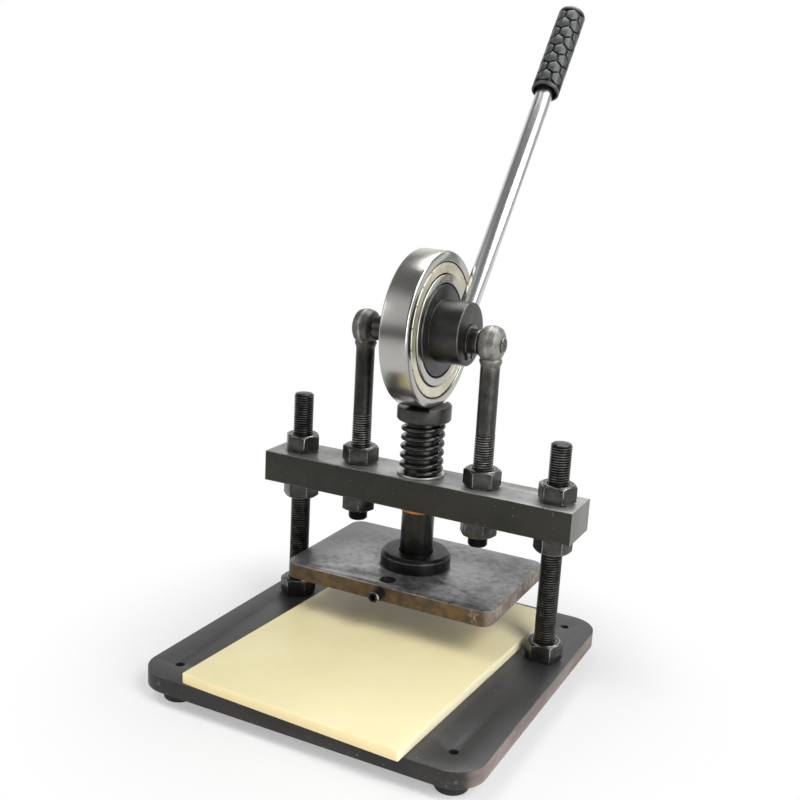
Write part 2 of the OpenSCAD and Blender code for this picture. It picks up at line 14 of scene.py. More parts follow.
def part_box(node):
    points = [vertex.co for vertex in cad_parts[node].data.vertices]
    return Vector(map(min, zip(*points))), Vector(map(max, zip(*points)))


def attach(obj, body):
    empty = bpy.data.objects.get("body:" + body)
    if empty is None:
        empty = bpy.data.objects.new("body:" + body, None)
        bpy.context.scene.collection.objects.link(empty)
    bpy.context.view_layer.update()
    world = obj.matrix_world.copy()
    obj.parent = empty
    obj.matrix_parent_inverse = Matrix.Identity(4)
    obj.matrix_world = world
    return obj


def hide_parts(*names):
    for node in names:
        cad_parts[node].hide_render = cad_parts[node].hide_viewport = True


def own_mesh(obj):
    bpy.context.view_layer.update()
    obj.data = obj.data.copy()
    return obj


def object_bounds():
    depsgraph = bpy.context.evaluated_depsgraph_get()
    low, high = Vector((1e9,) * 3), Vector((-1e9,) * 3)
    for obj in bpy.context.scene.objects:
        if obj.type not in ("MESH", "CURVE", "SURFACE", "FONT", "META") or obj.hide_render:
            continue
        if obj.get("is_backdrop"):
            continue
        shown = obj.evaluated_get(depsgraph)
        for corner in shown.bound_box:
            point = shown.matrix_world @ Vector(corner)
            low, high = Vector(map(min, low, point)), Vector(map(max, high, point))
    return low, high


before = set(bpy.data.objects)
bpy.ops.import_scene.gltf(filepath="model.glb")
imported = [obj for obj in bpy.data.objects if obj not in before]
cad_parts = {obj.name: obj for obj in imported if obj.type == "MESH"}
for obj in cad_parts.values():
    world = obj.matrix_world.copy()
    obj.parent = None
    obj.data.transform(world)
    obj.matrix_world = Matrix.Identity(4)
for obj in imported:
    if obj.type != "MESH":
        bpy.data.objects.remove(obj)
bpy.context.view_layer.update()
MM = 0.001

# %% [markdown]
# ## Camera
# A product photograph is matched by standing the camera where the photographer stood. The place, the
# turn, the tilt and a small roll were worked out from known corners of the machine, and the lens follows
# from how fast its parallel edges draw together.

# %% Camera
CAMERA_PLACE = (0.3613, -0.7229, 0.4235)
CAMERA_TURN = math.radians(26.37)
CAMERA_TILT = math.radians(13.61)
CAMERA_ROLL = math.radians(3.13)
LENS_MM = 49.36
SENSOR_MM = 36

bpy.ops.object.select_all(action="DESELECT")
bpy.ops.object.camera_add(location=CAMERA_PLACE)
camera = bpy.context.object
camera.name = "photo_camera"
camera.data.lens = LENS_MM
camera.data.sensor_width = SENSOR_MM
looking = Matrix.Rotation(CAMERA_TURN, 4, "Z") @ Matrix.Rotation(math.pi / 2 - CAMERA_TILT, 4, "X")
camera.matrix_world = Matrix.Translation(CAMERA_PLACE) @ looking @ Matrix.Rotation(CAMERA_ROLL, 4, "Z")
bpy.context.scene.camera = camera
bpy.context.scene.view_settings.view_transform = "Standard"
print("camera", [round(c, 3) for c in camera.location], "lens", LENS_MM)

# %% [markdown]
# ## Shader sums in plain Python
# A procedural finish is mostly arithmetic on masks. Adding Math nodes by hand hides the thought, so one
# small class wraps a socket and lets Python's own operators add the nodes. A second class is a node
# tree: its `add` method makes any node, its settings first and its sockets after. A finish is such a
# tree with a main shader.


# %% A socket that can be used in sums
class Mask:
    """A number that changes over a surface, held by a shader socket."""

    def __init__(self, nodes, socket):
        self.nodes = nodes
        self.socket = socket

    def math(self, operation, first, second=0.0):
        return self.nodes.add("ShaderNodeMath", {"operation": operation}, {0: first, 1: second})

    def __add__(self, other):
        return self.math("ADD", self, other)

    def __sub__(self, other):
        return self.math("SUBTRACT", self, other)

    def __rsub__(self, other):
        return self.math("SUBTRACT", other, self)

    def __mul__(self, other):
        return self.math("MULTIPLY", self, other)

    def __pow__(self, other):
        return self.math("POWER", self, other)

    __radd__ = __add__
    __rmul__ = __mul__

    def absolute(self):
        return self.math("ABSOLUTE", self)

    def largest(self, other):
        return self.math("MAXIMUM", self, other)

    def away(self, other):
        """Distance from an axis, out of two coordinates across it."""
        return (self * self + other * other) ** 0.5

    def angle(self, other):
        """Angle round an axis, out of the same two coordinates."""
        return self.math("ARCTAN2", other, self)

    def between(self, low, high):
        """0 at low, 1 at high, with a smooth rise between them; high may be the smaller."""
        ends = {"Value": self, "From Min": low, "From Max": high}
        return self.nodes.add("ShaderNodeMapRange", {"interpolation_type": "SMOOTHSTEP"}, ends)


print("masks add, subtract, multiply and take powers")


# %% One node tree
class Nodes:
    """A node tree, with one way of adding any node to it."""

    def __init__(self, tree):
        self.tree = tree

    def add(self, kind, settings=None, inputs=None, output=0):
        node = self.tree.nodes.new(kind)
        for name, value in (settings or {}).items():
            setattr(node, name, value)
        for name, value in (inputs or {}).items():
            self.feed(node.inputs[name], value)
        return Mask(self, node.outputs[output])

    def feed(self, socket, value):
        """Links a mask to a socket, or sets a plain value on it."""
        if isinstance(value, Mask):
            self.tree.links.new(value.socket, socket)
        else:
            socket.default_value = value

    def parts(self, vector):
        return [self.add("ShaderNodeSeparateXYZ", None, {0: vector}, axis) for axis in "XYZ"]

    def rays(self):
        """Masks of what the camera sees, what shiny surfaces mirror and what shows through glass."""
        kinds = ("Camera", "Glossy", "Transmission")
        return [self.add("ShaderNodeLightPath", output=f"Is {kind} Ray") for kind in kinds]


print("node trees ready")


# %% One material
class Finish(Nodes):
    """A procedural material that is read from an object's own coordinates."""

    def __init__(self, name):
        self.material = bpy.data.materials.new(name)
        self.material.use_nodes = True
        super().__init__(self.material.node_tree)
        self.shader = self.tree.nodes["Principled BSDF"]
        self.place = self.add("ShaderNodeTexCoord", output="Object")

    def local(self, centre, turn=(0, 0, 0), stretch=(1, 1, 1)):
        """Object coordinates as seen from a piece's own centre and axis."""
        frame_of_piece = {"Vector": self.place, "Location": centre, "Rotation": turn, "Scale": stretch}
        return self.add("ShaderNodeMapping", {"vector_type": "TEXTURE"}, frame_of_piece)

    def noise(self, size, detail=3.0, rough=0.6, vector=None):
        """Cloudy noise whose blotches are about size metres across, from 0 to 1."""
        inputs = {"Vector": vector or self.place, "Scale": 1 / size, "Detail": detail, "Roughness": rough}
        return self.add("ShaderNodeTexNoise", None, inputs)

    def lines(self, distance, size):
        """Fine lines along one distance, as a turning tool or a grinding wheel leaves them."""
        inputs = {"W": distance, "Scale": 1 / size, "Detail": 2.0, "Roughness": 0.7}
        return self.add("ShaderNodeTexNoise", {"noise_dimensions": "1D"}, inputs)

    def attribute(self, name):
        return self.add("ShaderNodeAttribute", {"attribute_name": name}, None, "Fac")

    def mix(self, share, first, second):
        inputs = {0: share, 6: first, 7: second}
        return self.add("ShaderNodeMix", {"data_type": "RGBA"}, inputs, 2)

    def bump(self, height, depth):
        """Turns a height from 0 to 1 into dents of this depth in metres."""
        inputs = {"Height": height, "Distance": depth, "Strength": 1.0}
        self.set(Normal=self.add("ShaderNodeBump", None, inputs))

    def set(self, **sockets):
        """Values or masks for the main shader, with _ for the spaces in a socket's name."""
        for name, value in sockets.items():
            self.feed(self.shader.inputs[name.replace("_", " ")], value)


def tone(red, green, blue):
    """A colour as a screen shows it, 0 to 255, made the linear colour that a shader takes."""
    def linear(c):
        c = c / 255
        return c / 12.92 if c <= 0.04045 else ((c + 0.055) / 1.055) ** 2.4
    return (linear(red), linear(green), linear(blue), 1.0)


print("mid grey 128 is", round(tone(128, 128, 128)[0], 3), "linear")

# %% [markdown]
# ## Modelling helpers
# An operator acts on whatever is selected, so each piece starts from an empty selection. Modifiers are
# added, set and applied at once. A line is drawn from one vertex that is extruded from point to point,
# as with the E key, and a turned piece is that line spun round an axis.


# %% Selecting, modifiers and cuts
def only(*objects):
    """Selects these objects and nothing else; the last one is active."""
    bpy.ops.object.select_all(action="DESELECT")
    for thing in objects:
        thing.select_set(True)
        bpy.context.view_layer.objects.active = thing
    return objects[-1]


def modify(thing, kind, **settings):
    only(thing)
    modifier = thing.modifiers.new(kind.title(), kind)
    for name, value in settings.items():
        setattr(modifier, name, value)
    bpy.ops.object.modifier_apply(modifier=modifier.name)
    return thing


def throw_away(thing):
    only(thing)
    bpy.ops.object.delete()


def carve(thing, tool, operation="DIFFERENCE"):
    """A boolean with a tool that is thrown away afterwards."""
    modify(thing, "BOOLEAN", operation=operation, object=tool, solver="EXACT")
    throw_away(tool)
    return only(thing)


def join(*things):
    only(*things)
    bpy.ops.object.join()
    return bpy.context.object


def edit(thing):
    """Enters edit mode with all of the mesh selected."""
    only(thing)
    bpy.ops.object.mode_set(mode="EDIT")
    bpy.ops.mesh.select_all(action="SELECT")


def leave_edit():
    bpy.ops.object.mode_set(mode="OBJECT")
    return bpy.context.object


print("helpers ready")


# %% Lines, turned shapes and moved copies
MERGE_WITHIN = 1e-6


def new_shape(add_primitive, **settings):
    """A primitive added to an empty selection, with its place baked into its mesh."""
    bpy.ops.object.select_all(action="DESELECT")
    add_primitive(**settings)
    bpy.ops.object.transform_apply(location=True, rotation=True, scale=True)
    return bpy.context.object


def draw_line(points):
    """An open line through points, extruded from a single vertex."""
    line = new_shape(bpy.ops.mesh.primitive_plane_add, size=MM, location=points[0])
    edit(line)
    bpy.ops.mesh.merge(type="CENTER")
    for start, end in zip(points, points[1:]):
        step = Vector(end) - Vector(start)
        bpy.ops.mesh.extrude_vertices_move(TRANSFORM_OT_translate={"value": step})
    return leave_edit()


def turn_shape(profile, steps=96, closed=True):
    """Spins (radius, height) points round Z, in metres; a closed profile makes a ring."""
    points = [(radius, 0, height) for radius, height in profile]
    shape = draw_line(points + points[:1] if closed else points)
    edit(shape)
    bpy.ops.mesh.remove_doubles(threshold=MERGE_WITHIN)
    bpy.ops.mesh.select_all(action="SELECT")
    bpy.ops.mesh.spin(steps=steps, angle=2 * math.pi, center=(0, 0, 0), axis=(0, 0, 1))
    bpy.ops.mesh.select_all(action="SELECT")
    bpy.ops.mesh.remove_doubles(threshold=MERGE_WITHIN)
    bpy.ops.mesh.normals_make_consistent(inside=False)
    return leave_edit()


def move(thing, matrix):
    """Puts a piece in its place and bakes that place into its mesh."""
    only(thing)
    thing.matrix_world = matrix
    bpy.ops.object.transform_apply(location=True, rotation=True, scale=True)
    return thing


def copy_of(thing):
    only(thing)
    bpy.ops.object.duplicate()
    return bpy.context.object


print("line, turn, move and copy ready")

# %% [markdown]
# ## Soft edges and worn edges
# Real edges are never knife sharp, and the black finish rubs off them first. A copy of a CAD part is
# merged into clean faces and given a small Bevel. The Bevel marks its own new faces through a spare
# material slot, and that mark becomes a face attribute that the finishes read as wear.

# %% Bevelled copies and hand-in of a piece
WEAR = "worn_edge"
EDGE_ANGLE = math.radians(28)
FLAT_ANGLE = math.radians(0.5)
SMOOTH_ANGLE = math.radians(35)
MARKS = [bpy.data.materials.new(mark) for mark in ("plain", "worn")]


def bevel_edges(thing, width, segments=2, angle=EDGE_ANGLE):
    """Rounds the sharp edges and marks the new faces as worn."""
    thing.data.materials.clear()
    for mark in MARKS:
        thing.data.materials.append(mark)
    for face in thing.data.polygons:
        face.material_index = 0
    modify(thing, "BEVEL", width=width, segments=segments, limit_method="ANGLE", angle_limit=angle,
           material=1, use_clamp_overlap=True)
    wear = thing.data.attributes.new(WEAR, "FLOAT", "FACE")
    wear.data.foreach_set("value", [float(face.material_index) for face in thing.data.polygons])
    for face in thing.data.polygons:
        face.material_index = 0
    thing.data.materials.clear()
    return thing


def soft_copy(node, width, segments=2):
    """A copy of a CAD part with merged faces and bevelled edges."""
    thing = copy_of(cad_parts[node])
    thing.parent = None
    for key in list(thing.keys()):
        del thing[key]
    edit(thing)
    bpy.ops.mesh.remove_doubles(threshold=MERGE_WITHIN)
    bpy.ops.mesh.dissolve_limited(angle_limit=FLAT_ANGLE)
    leave_edit()
    return bevel_edges(thing, width, segments)


def hand_in(thing, name, body, finish, nodes, smooth=SMOOTH_ANGLE):
    """Names a finished piece, shades it, gives it its finish and lets it ride on its body."""
    only(thing)
    thing.name = name
    thing.data.name = name
    bpy.ops.object.shade_smooth_by_angle(angle=smooth)
    thing.data.materials.clear()
    thing.data.materials.append(finish.material)
    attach(thing, body)
    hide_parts(*nodes)
    print(name, len(thing.data.polygons), "faces on", body)


def hand_in_soft(node, width, segments, body, finish):
    """Hands in a bevelled copy of a CAD part in the place of that part."""
    hand_in(soft_copy(node, width, segments), node + "_soft", body, finish, [node])


def middle(node):
    low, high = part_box(node)
    return (low + high) / 2


shaft_axis = middle("cam_shaft")
hub_axis = middle("bearing_outer_ring")
ram_axis = middle("ram_shaft")
ALONG_X = (0, math.pi / 2, 0)
print("shaft axis", [round(c / MM, 1) for c in shaft_axis], "hub axis", [round(c / MM, 1) for c in hub_axis])

# %% [markdown]
# ## Black steel finishes
# Most of the machine is steel with a black oxide or mill scale skin. Close up it is never one colour:
# it has soft clouds, fine grain, faint rub marks, and bright metal where an edge has been knocked.
# One function makes that family of finishes, and each call picks its own tones and scale.

# %% Black steel
BARE_STEEL = tone(176, 174, 170)


def black_steel(name, dark, light, cloud=0.03, rough=0.42, metal=0.75, wear=0.7, grain=0.0012, dent=0.00006):
    """Oxide-black steel: clouds between two tones, a fine grain, and bare metal on worn edges."""
    steel = Finish(name)
    clouds = steel.noise(cloud, 5.0, 0.62)
    fine = steel.noise(grain, 2.0, 0.5)
    rub = steel.noise(cloud * 0.35, 6.0, 0.75).between(0.52, 0.7)
    worn = steel.attribute(WEAR) * steel.noise(0.006, 3.0, 0.7).between(0.35, 0.62) * wear
    colour = steel.mix((clouds * 0.8 + fine * 0.2).between(0.3, 0.7), dark, light)
    steel.set(
        Base_Color=steel.mix(worn, colour, BARE_STEEL),
        Roughness=rough + 0.14 * (clouds - 0.5) - 0.08 * rub - 0.1 * worn,
        Metallic=metal + (1 - metal) * worn,
    )
    steel.bump(fine * 0.7 + clouds * 0.3, dent)
    return steel


nut_black = black_steel("nut_black", tone(56, 56, 55), tone(82, 81, 79),
                        cloud=0.008, rough=0.32, metal=0.9, wear=1.0)
thread_black = black_steel("thread_black", tone(30, 30, 29), tone(42, 41, 40),
                           cloud=0.02, rough=0.34, metal=0.85, wear=0.22)
# painted light: the right column gets this lighter copy of the thread finish, as lit from the right
thread_grey_lit = black_steel("thread_grey_lit", tone(44, 44, 43), tone(62, 61, 59),
                          cloud=0.02, rough=0.34, metal=0.85, wear=0.3)
screw_black = black_steel("screw_black", tone(36, 36, 36), tone(52, 52, 52),
                          cloud=0.004, rough=0.34, metal=0.85, wear=1.0)
print("black steels made")

# %% [markdown]
# ## Base plate
# The base is a thick flame-cut plate with a dark painted skin. Its top is smooth with tiny pale specks,
# its edges are scuffed, and the sides show a browner cut face; the right side is also painted much lighter
# than the front, as painted light from the right. The CAD shape is right, so the piece is a bevelled copy,
# and the finish tells the top from the sides by height.

# %% Base plate
_, base_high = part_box("base_plate")
base_black = Finish("base_black")
across, along, height = base_black.parts(base_black.place)
side = height.between(base_high.z - 0.5 * MM, base_high.z - 1.2 * MM)
right = across.between(base_high.x - 9 * MM, base_high.x - 2 * MM)
corner = across.absolute().between(base_high.x - 40 * MM, base_high.x - 14 * MM)
corner = corner * along.absolute().between(base_high.y - 40 * MM, base_high.y - 14 * MM)
clouds = base_black.noise(0.12, 5.0, 0.6)
grain = base_black.noise(0.0016, 3.0, 0.6)
specks = base_black.noise(0.0022, 1.0, 0.4).between(0.76, 0.8)
scuffs = base_black.noise(0.007, 6.0, 0.75).between(0.55, 0.72)
streaks = base_black.noise(0.05, 5.0, 0.6, base_black.local((0, 0, 0), stretch=(1, 1, 0.35)))
worn = base_black.attribute(WEAR) * base_black.noise(0.014, 6.0, 0.7).between(0.42, 0.64)
worn = worn * (0.3 + 0.7 * right.largest(corner))
top_tone = base_black.mix(clouds.between(0.3, 0.7), tone(58, 58, 59), tone(74, 74, 74))
front_tone = base_black.mix(streaks.between(0.3, 0.7), tone(48, 47, 46), tone(59, 57, 55))
# painted light: the right side is painted much lighter than the front, as lit from the right, over a browner
# cut face
lit_right_tone = base_black.mix(streaks.between(0.35, 0.65), tone(118, 104, 100), tone(150, 136, 132))
side_tone = base_black.mix(right, front_tone, lit_right_tone)
skin = base_black.mix(side, top_tone, side_tone)
scuffs = scuffs * (0.06 + side * (0.3 * corner))
skin = base_black.mix((specks * 0.6).largest(scuffs), skin, tone(150, 147, 143))
base_black.set(
    Base_Color=base_black.mix(worn * 0.75, skin, tone(170, 165, 160)),
    Roughness=0.42 + 0.2 * (clouds - 0.5) + 0.1 * side + 0.1 * (grain - 0.5),
    Metallic=0.55 + 0.35 * worn,
)
base_black.bump(grain * 0.8 + scuffs * 0.2, 0.00004)
hand_in_soft("base_plate", 0.9 * MM, 3, "frame", base_black)

# %% [markdown]
# ## Crossbeam
# The beam is a sawn bar of black steel. Its front is dark and smooth, its top carries a few dark pits,
# and its ends show faint saw lines. The top is painted much lighter than the front as a painted sheen, and
# the ends are painted lighter as painted light from the right. Again a bevelled copy keeps the drilled
# holes where they are.

# %% Crossbeam
beam_low, beam_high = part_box("crossbeam")
beam_black = Finish("beam_black")
across, along, height = beam_black.parts(beam_black.place)
top = height.between(beam_high.z - 0.6 * MM, beam_high.z - 0.1 * MM)
ends = across.absolute().between(beam_high.x - 0.6 * MM, beam_high.x - 0.1 * MM)
clouds = beam_black.noise(0.06, 5.0, 0.6)
grain = beam_black.noise(0.001, 3.0, 0.6)
pits = beam_black.noise(0.005, 4.0, 0.6).between(0.62, 0.7)
specks = beam_black.noise(0.0018, 1.0, 0.4).between(0.77, 0.8)
saw = beam_black.lines(height + 0.15 * along, 0.0009)
worn = beam_black.attribute(WEAR) * beam_black.noise(0.012, 5.0, 0.7).between(0.4, 0.65)
front_tone = beam_black.mix(clouds.between(0.3, 0.7), tone(44, 44, 40), tone(56, 55, 50))
# painted light: a painted sheen makes the top much lighter than the front, and the ends are painted lighter
# as lit from the right, over real saw lines
top_tone = beam_black.mix(clouds.between(0.35, 0.65), tone(130, 130, 128), tone(172, 172, 170))
lit_sawn_end_tone = beam_black.mix(saw, tone(102, 101, 97), tone(133, 132, 128))
skin = beam_black.mix(ends, beam_black.mix(top, front_tone, top_tone), lit_sawn_end_tone)
skin = beam_black.mix(pits * top * 0.8, skin, tone(58, 57, 55))
skin = beam_black.mix(specks * 0.6, skin, tone(150, 148, 142))
beam_black.set(
    Base_Color=beam_black.mix(worn * 0.55, skin, BARE_STEEL),
    Roughness=0.45 + 0.18 * (clouds - 0.5) - 0.06 * top + 0.08 * (grain - 0.5),
    Metallic=0.65 + 0.3 * worn,
)
beam_black.bump(grain * 0.6 + saw * ends * 0.5 - pits * top, 0.00005)
hand_in_soft("crossbeam", 0.35 * MM, 2, "frame", beam_black)

# %% [markdown]
# ## Press plate
# The press plate still wears its rolled mill scale on top, blue-grey and mottled. On its left half the top is
# painted palest at the front, a painted sheen, and it is darker towards the far left. Its cut edges have
# started to rust. The front edge is the brownest and the right edge is greyer with bare patches.

# %% Press plate
plate_low, plate_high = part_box("press_plate")
clamp_axis = middle("die_clamp_screw")
DIE_HOLE_IN = 13.6 * MM
DIE_HOLE_R = 6.4 * MM
plate_scale = Finish("plate_scale")
across, along, height = plate_scale.parts(plate_scale.place)
side = height.between(plate_high.z - 0.5 * MM, plate_high.z - 1.1 * MM)
right = across.between(plate_high.x - 6 * MM, plate_high.x - 1 * MM)
die_hole = Vector((clamp_axis.x, plate_low.y + DIE_HOLE_IN, 0))
hole_x, hole_y, _ = plate_scale.parts(plate_scale.local(die_hole))
# painted shade: the inside of the die hole is painted near black
shaded_hole = hole_x.away(hole_y).between(DIE_HOLE_R + 0.5 * MM, DIE_HOLE_R)
mottle = plate_scale.noise(0.0055, 6.0, 0.66)
clouds = plate_scale.noise(0.05, 4.0, 0.55)
grain = plate_scale.noise(0.0011, 3.0, 0.6)
rust = plate_scale.noise(0.009, 6.0, 0.7)
bare = plate_scale.noise(0.008, 6.0, 0.72).between(0.5, 0.64)
corner = across.between(plate_high.x - 22 * MM, plate_high.x - 10 * MM)
worn = plate_scale.attribute(WEAR) * plate_scale.noise(0.008, 5.0, 0.7).between(0.4, 0.62)
# painted sheen: on the left half the top is painted lighter, and lightest towards the front
left = across.between(20 * MM, -70 * MM)
sheen_to_front = along.between(plate_high.y - 20 * MM, plate_low.y + 20 * MM)
patches = (mottle * 0.6 + clouds * 0.4 + 0.05 * left).between(0.36, 0.62)
left_dark_with_sheen = plate_scale.mix(sheen_to_front, tone(78, 79, 80), tone(118, 119, 120))
left_light_with_sheen = plate_scale.mix(sheen_to_front, tone(124, 125, 125), tone(178, 178, 177))
right_scale = plate_scale.mix(patches, tone(94, 95, 96), tone(146, 146, 145))
scale_and_sheen_tone = plate_scale.mix(left, right_scale, plate_scale.mix(patches, left_dark_with_sheen, left_light_with_sheen))
# the far left of the top is darker
far_left = across.between(-50 * MM, -90 * MM)
scale_and_sheen_tone = plate_scale.mix(far_left * 0.7, scale_and_sheen_tone, tone(62, 63, 63))
rust_tone = plate_scale.mix(rust.between(0.3, 0.72), tone(58, 48, 36), tone(106, 84, 52))
edge_tone = plate_scale.mix(right, rust_tone, tone(118, 106, 98))
edge_tone = plate_scale.mix(bare * corner, edge_tone, tone(166, 152, 142))
skin = plate_scale.mix(side, scale_and_sheen_tone, edge_tone)
skin = plate_scale.mix(worn * 0.45, skin, tone(160, 146, 124))
plate_scale.set(
    Base_Color=plate_scale.mix(shaded_hole, skin, tone(26, 24, 22)),
    Roughness=0.3 + 0.2 * (mottle - 0.5) + 0.3 * side,
    Metallic=0.7 - 0.5 * side + 0.3 * worn,
)
plate_scale.bump(grain * 0.5 + mottle * 0.5 + bare * side, 0.00004)
hand_in_soft("press_plate", 0.9 * MM, 3, "ram", plate_scale)

# %% [markdown]
# ## Cutting board and feet
# The board is a slab of cream cutting plastic, a little warmer on its sawn edges, with faint scuffs from
# the dies. The feet are turned from black rubber. Both keep their CAD shape with softened edges.

# %% Cutting board
board_low, board_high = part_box("cutting_board")
cream = Finish("cream_plastic")
BOARD_SKEW = math.radians(-2.6)
BOARD_HALF_L = 131 * MM
_, along, height = cream.parts(cream.local(middle("cutting_board"), (0, 0, BOARD_SKEW)))
half_t = (board_high.z - board_low.z) / 2
front = along.between(0.8 * MM - BOARD_HALF_L, 0.2 * MM - BOARD_HALF_L)
side = height.between(half_t - 0.2 * MM, half_t - 0.8 * MM)
clouds = cream.noise(0.09, 4.0, 0.55)
scuff = cream.noise(0.006, 8.0, 0.8, cream.local((0, 0, 0), (0, 0, 0.5), (6, 0.7, 1))).between(0.6, 0.75)
saw = cream.lines(height, 0.0025)
grain = cream.noise(0.0007, 2.0, 0.5)
top_tone = cream.mix(clouds.between(0.3, 0.7), tone(242, 230, 180), tone(247, 237, 190))
front_tone = cream.mix(saw, tone(244, 224, 168), tone(250, 233, 182))
side_tone = cream.mix(front, tone(250, 241, 205), front_tone)
skin = cream.mix(side, top_tone, side_tone)
cream.set(
    Base_Color=cream.mix(scuff * 0.35, skin, tone(228, 216, 176)),
    Roughness=0.42 + 0.1 * scuff + 0.12 * side,
    Subsurface_Weight=0.08,
    Subsurface_Radius=(0.004, 0.003, 0.0015),
)
cream.bump(grain * 0.6 + scuff * 0.2 + saw * side * 0.2, 0.00003)
hand_in_soft("cutting_board", 0.5 * MM, 2, "board", cream)


# %% Rubber
def rubber(name, dark, light, rough, axis=None, groove=None):
    """Moulded rubber: near black, matt, dusted with paler rub; grooves of a round piece get painted shade."""
    skin = Finish(name)
    grain = skin.noise(0.0007, 3.0, 0.6)
    dust = skin.noise(0.012, 5.0, 0.7).between(0.45, 0.75)
    colour = skin.mix(dust * 0.7 + grain * 0.3, dark, light)
    # painted shade: the grooves between the raised tiles are painted near black
    if groove:
        x, y, _ = skin.parts(skin.local(*axis))
        out_of_groove_shade = x.away(y).between(*groove)
        colour = skin.mix(out_of_groove_shade, tone(12, 12, 12), colour)
    skin.set(Base_Color=colour, Roughness=rough + 0.15 * (grain - 0.5) + 0.08 * dust)
    skin.bump(grain, 0.00008)
    return skin


foot_rubber = rubber("foot_rubber", tone(20, 20, 20), tone(34, 34, 34), 0.6)
hand_in_soft("rubber_feet", 0.9 * MM, 3, "frame", foot_rubber)

# %% [markdown]
# ## Threaded columns
# A real screw thread catches light on every crest, so the columns get one. One pitch of the thread's
# outline is drawn, and the Screw modifier winds it up the rod. The open ends are cut off flat with
# Bisect, and a boolean with a chamfered blank gives the lathe-turned ends. The crests are marked as worn,
# and the right column is painted a little lighter than the left, as painted light from the right.


# %% A thread cutter
def threaded_rod(radius, pitch, length, chamfer, steps=36):
    """A threaded rod along +Z from the origin, with chamfered ends."""
    depth = 0.61 * pitch
    root = radius - depth
    turns = math.ceil(length / pitch) + 3
    points = [(root, 0), (root, 0.2), (radius, 0.47), (radius, 0.73), (root, 1)]
    rod = draw_line([(r, 0, (share - 2) * pitch) for r, share in points])
    modify(rod, "SCREW", axis="Z", angle=2 * math.pi, screw_offset=pitch, iterations=turns,
           steps=steps, render_steps=steps, use_merge_vertices=True, merge_threshold=1e-7)
    edit(rod)
    bpy.ops.mesh.remove_doubles(threshold=MERGE_WITHIN)
    for cut, way in ((-0.2 * pitch, -1), (length + 0.2 * pitch, 1)):
        bpy.ops.mesh.select_all(action="SELECT")
        bpy.ops.mesh.bisect(plane_co=(0, 0, cut), plane_no=(0, 0, way), clear_outer=True, use_fill=True)
    bpy.ops.mesh.select_all(action="SELECT")
    bpy.ops.mesh.normals_make_consistent(inside=False)
    leave_edit()
    blank = turn_shape([(0, 0), (radius - chamfer, 0), (radius, chamfer), (radius, length - chamfer),
                        (radius - chamfer, length), (0, length)], steps=72, closed=False)
    return carve(rod, blank, "INTERSECT")


def mark_worn(thing, is_worn):
    """Marks the faces for which is_worn(face) holds, for the finishes to show as bare metal."""
    wear = thing.data.attributes.get(WEAR) or thing.data.attributes.new(WEAR, "FLOAT", "FACE")
    wear.data.foreach_set("value", [float(is_worn(face)) for face in thing.data.polygons])
    return thing


COLUMN_R = 8.3 * MM
STUD_R = 8.0 * MM
THREAD_PITCH = 2 * MM
THREAD_CHAMFER = 1.3 * MM
THREAD_SMOOTH = math.radians(50)


def on_crest(face):
    """Whether a face lies on the outermost strip of a thread."""
    return face.center.xy.length > 0.97 * STUD_R and abs(face.normal.z) < 0.3


print("thread pitch", THREAD_PITCH / MM, "mm")

# %% Two columns
for node, finish in (("column_left", thread_black), ("column_right", thread_grey_lit)):
    low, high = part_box(node)
    rod = mark_worn(threaded_rod(COLUMN_R, THREAD_PITCH, high.z - low.z, THREAD_CHAMFER), on_crest)
    column = move(rod, Matrix.Translation((middle(node).x, middle(node).y, low.z)))
    hand_in(column, node + "_thread", "frame", finish, [node], smooth=THREAD_SMOOTH)

# %% [markdown]
# ## Nuts
# A hexagon nut is a six-sided bar that is turned to a cone at both ends, which leaves the curved arcs on
# its flats. The bar is a six-sided cylinder, the cone comes from a boolean with a turned double cone, and
# the hole gets a countersink. One nut is made and copied to ten places, each turned its own way.

# %% One nut
NUT_FLATS = 26.5 * MM
NUT_CORNERS = NUT_FLATS / math.cos(math.pi / 6)
nut_low, nut_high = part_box("base_nuts")
NUT_H = nut_high.z - nut_low.z
FACE_R = 12.3 * MM
NUT_HOLE_R = 8.5 * MM
NUT_SINK = 0.9 * MM
CONE_SLOPE = math.tan(math.radians(30))
rim = NUT_CORNERS / 2 + MM
sink_r = NUT_HOLE_R + NUT_SINK + MM

nut = new_shape(bpy.ops.mesh.primitive_cylinder_add, vertices=6, radius=NUT_CORNERS / 2, depth=NUT_H,
                location=(0, 0, NUT_H / 2))
rise = (rim - FACE_R) * CONE_SLOPE
cone = turn_shape([(0, 0), (FACE_R, 0), (rim, rise), (rim, NUT_H - rise), (FACE_R, NUT_H), (0, NUT_H)],
                  steps=96, closed=False)
carve(nut, cone, "INTERSECT")
drill = turn_shape([(0, -MM), (sink_r, -MM), (NUT_HOLE_R, NUT_SINK), (NUT_HOLE_R, NUT_H - NUT_SINK),
                    (sink_r, NUT_H + MM), (0, NUT_H + MM)], steps=72, closed=False)
carve(nut, drill)
bevel_edges(nut, 0.5 * MM, segments=3, angle=math.radians(20))
print("nut", len(nut.data.polygons), "faces")

# %% Ten nuts
NUT_TURNS = {
    "base_nuts": (25.5, 8.5), "beam_lower_nuts": (19.5, 16), "beam_upper_nuts": (6, 5),
    "eye_bolt_upper_nuts": (20, 23), "eye_bolt_lower_nuts": (58, 7),
}
column_x = (middle("column_left").x, middle("column_right").x)
eye_x = (middle("eye_bolt_left").x, middle("eye_bolt_right").x)
for node, turns in NUT_TURNS.items():
    low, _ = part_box(node)
    pair = []
    for x, degrees in zip(eye_x if "eye" in node else column_x, turns):
        turn = Matrix.Rotation(math.radians(degrees - 30), 4, "Z")
        pair.append(move(copy_of(nut), Matrix.Translation((x, shaft_axis.y, low.z)) @ turn))
    hand_in(join(*pair), node + "_hex", "frame", nut_black, [node])
throw_away(nut)

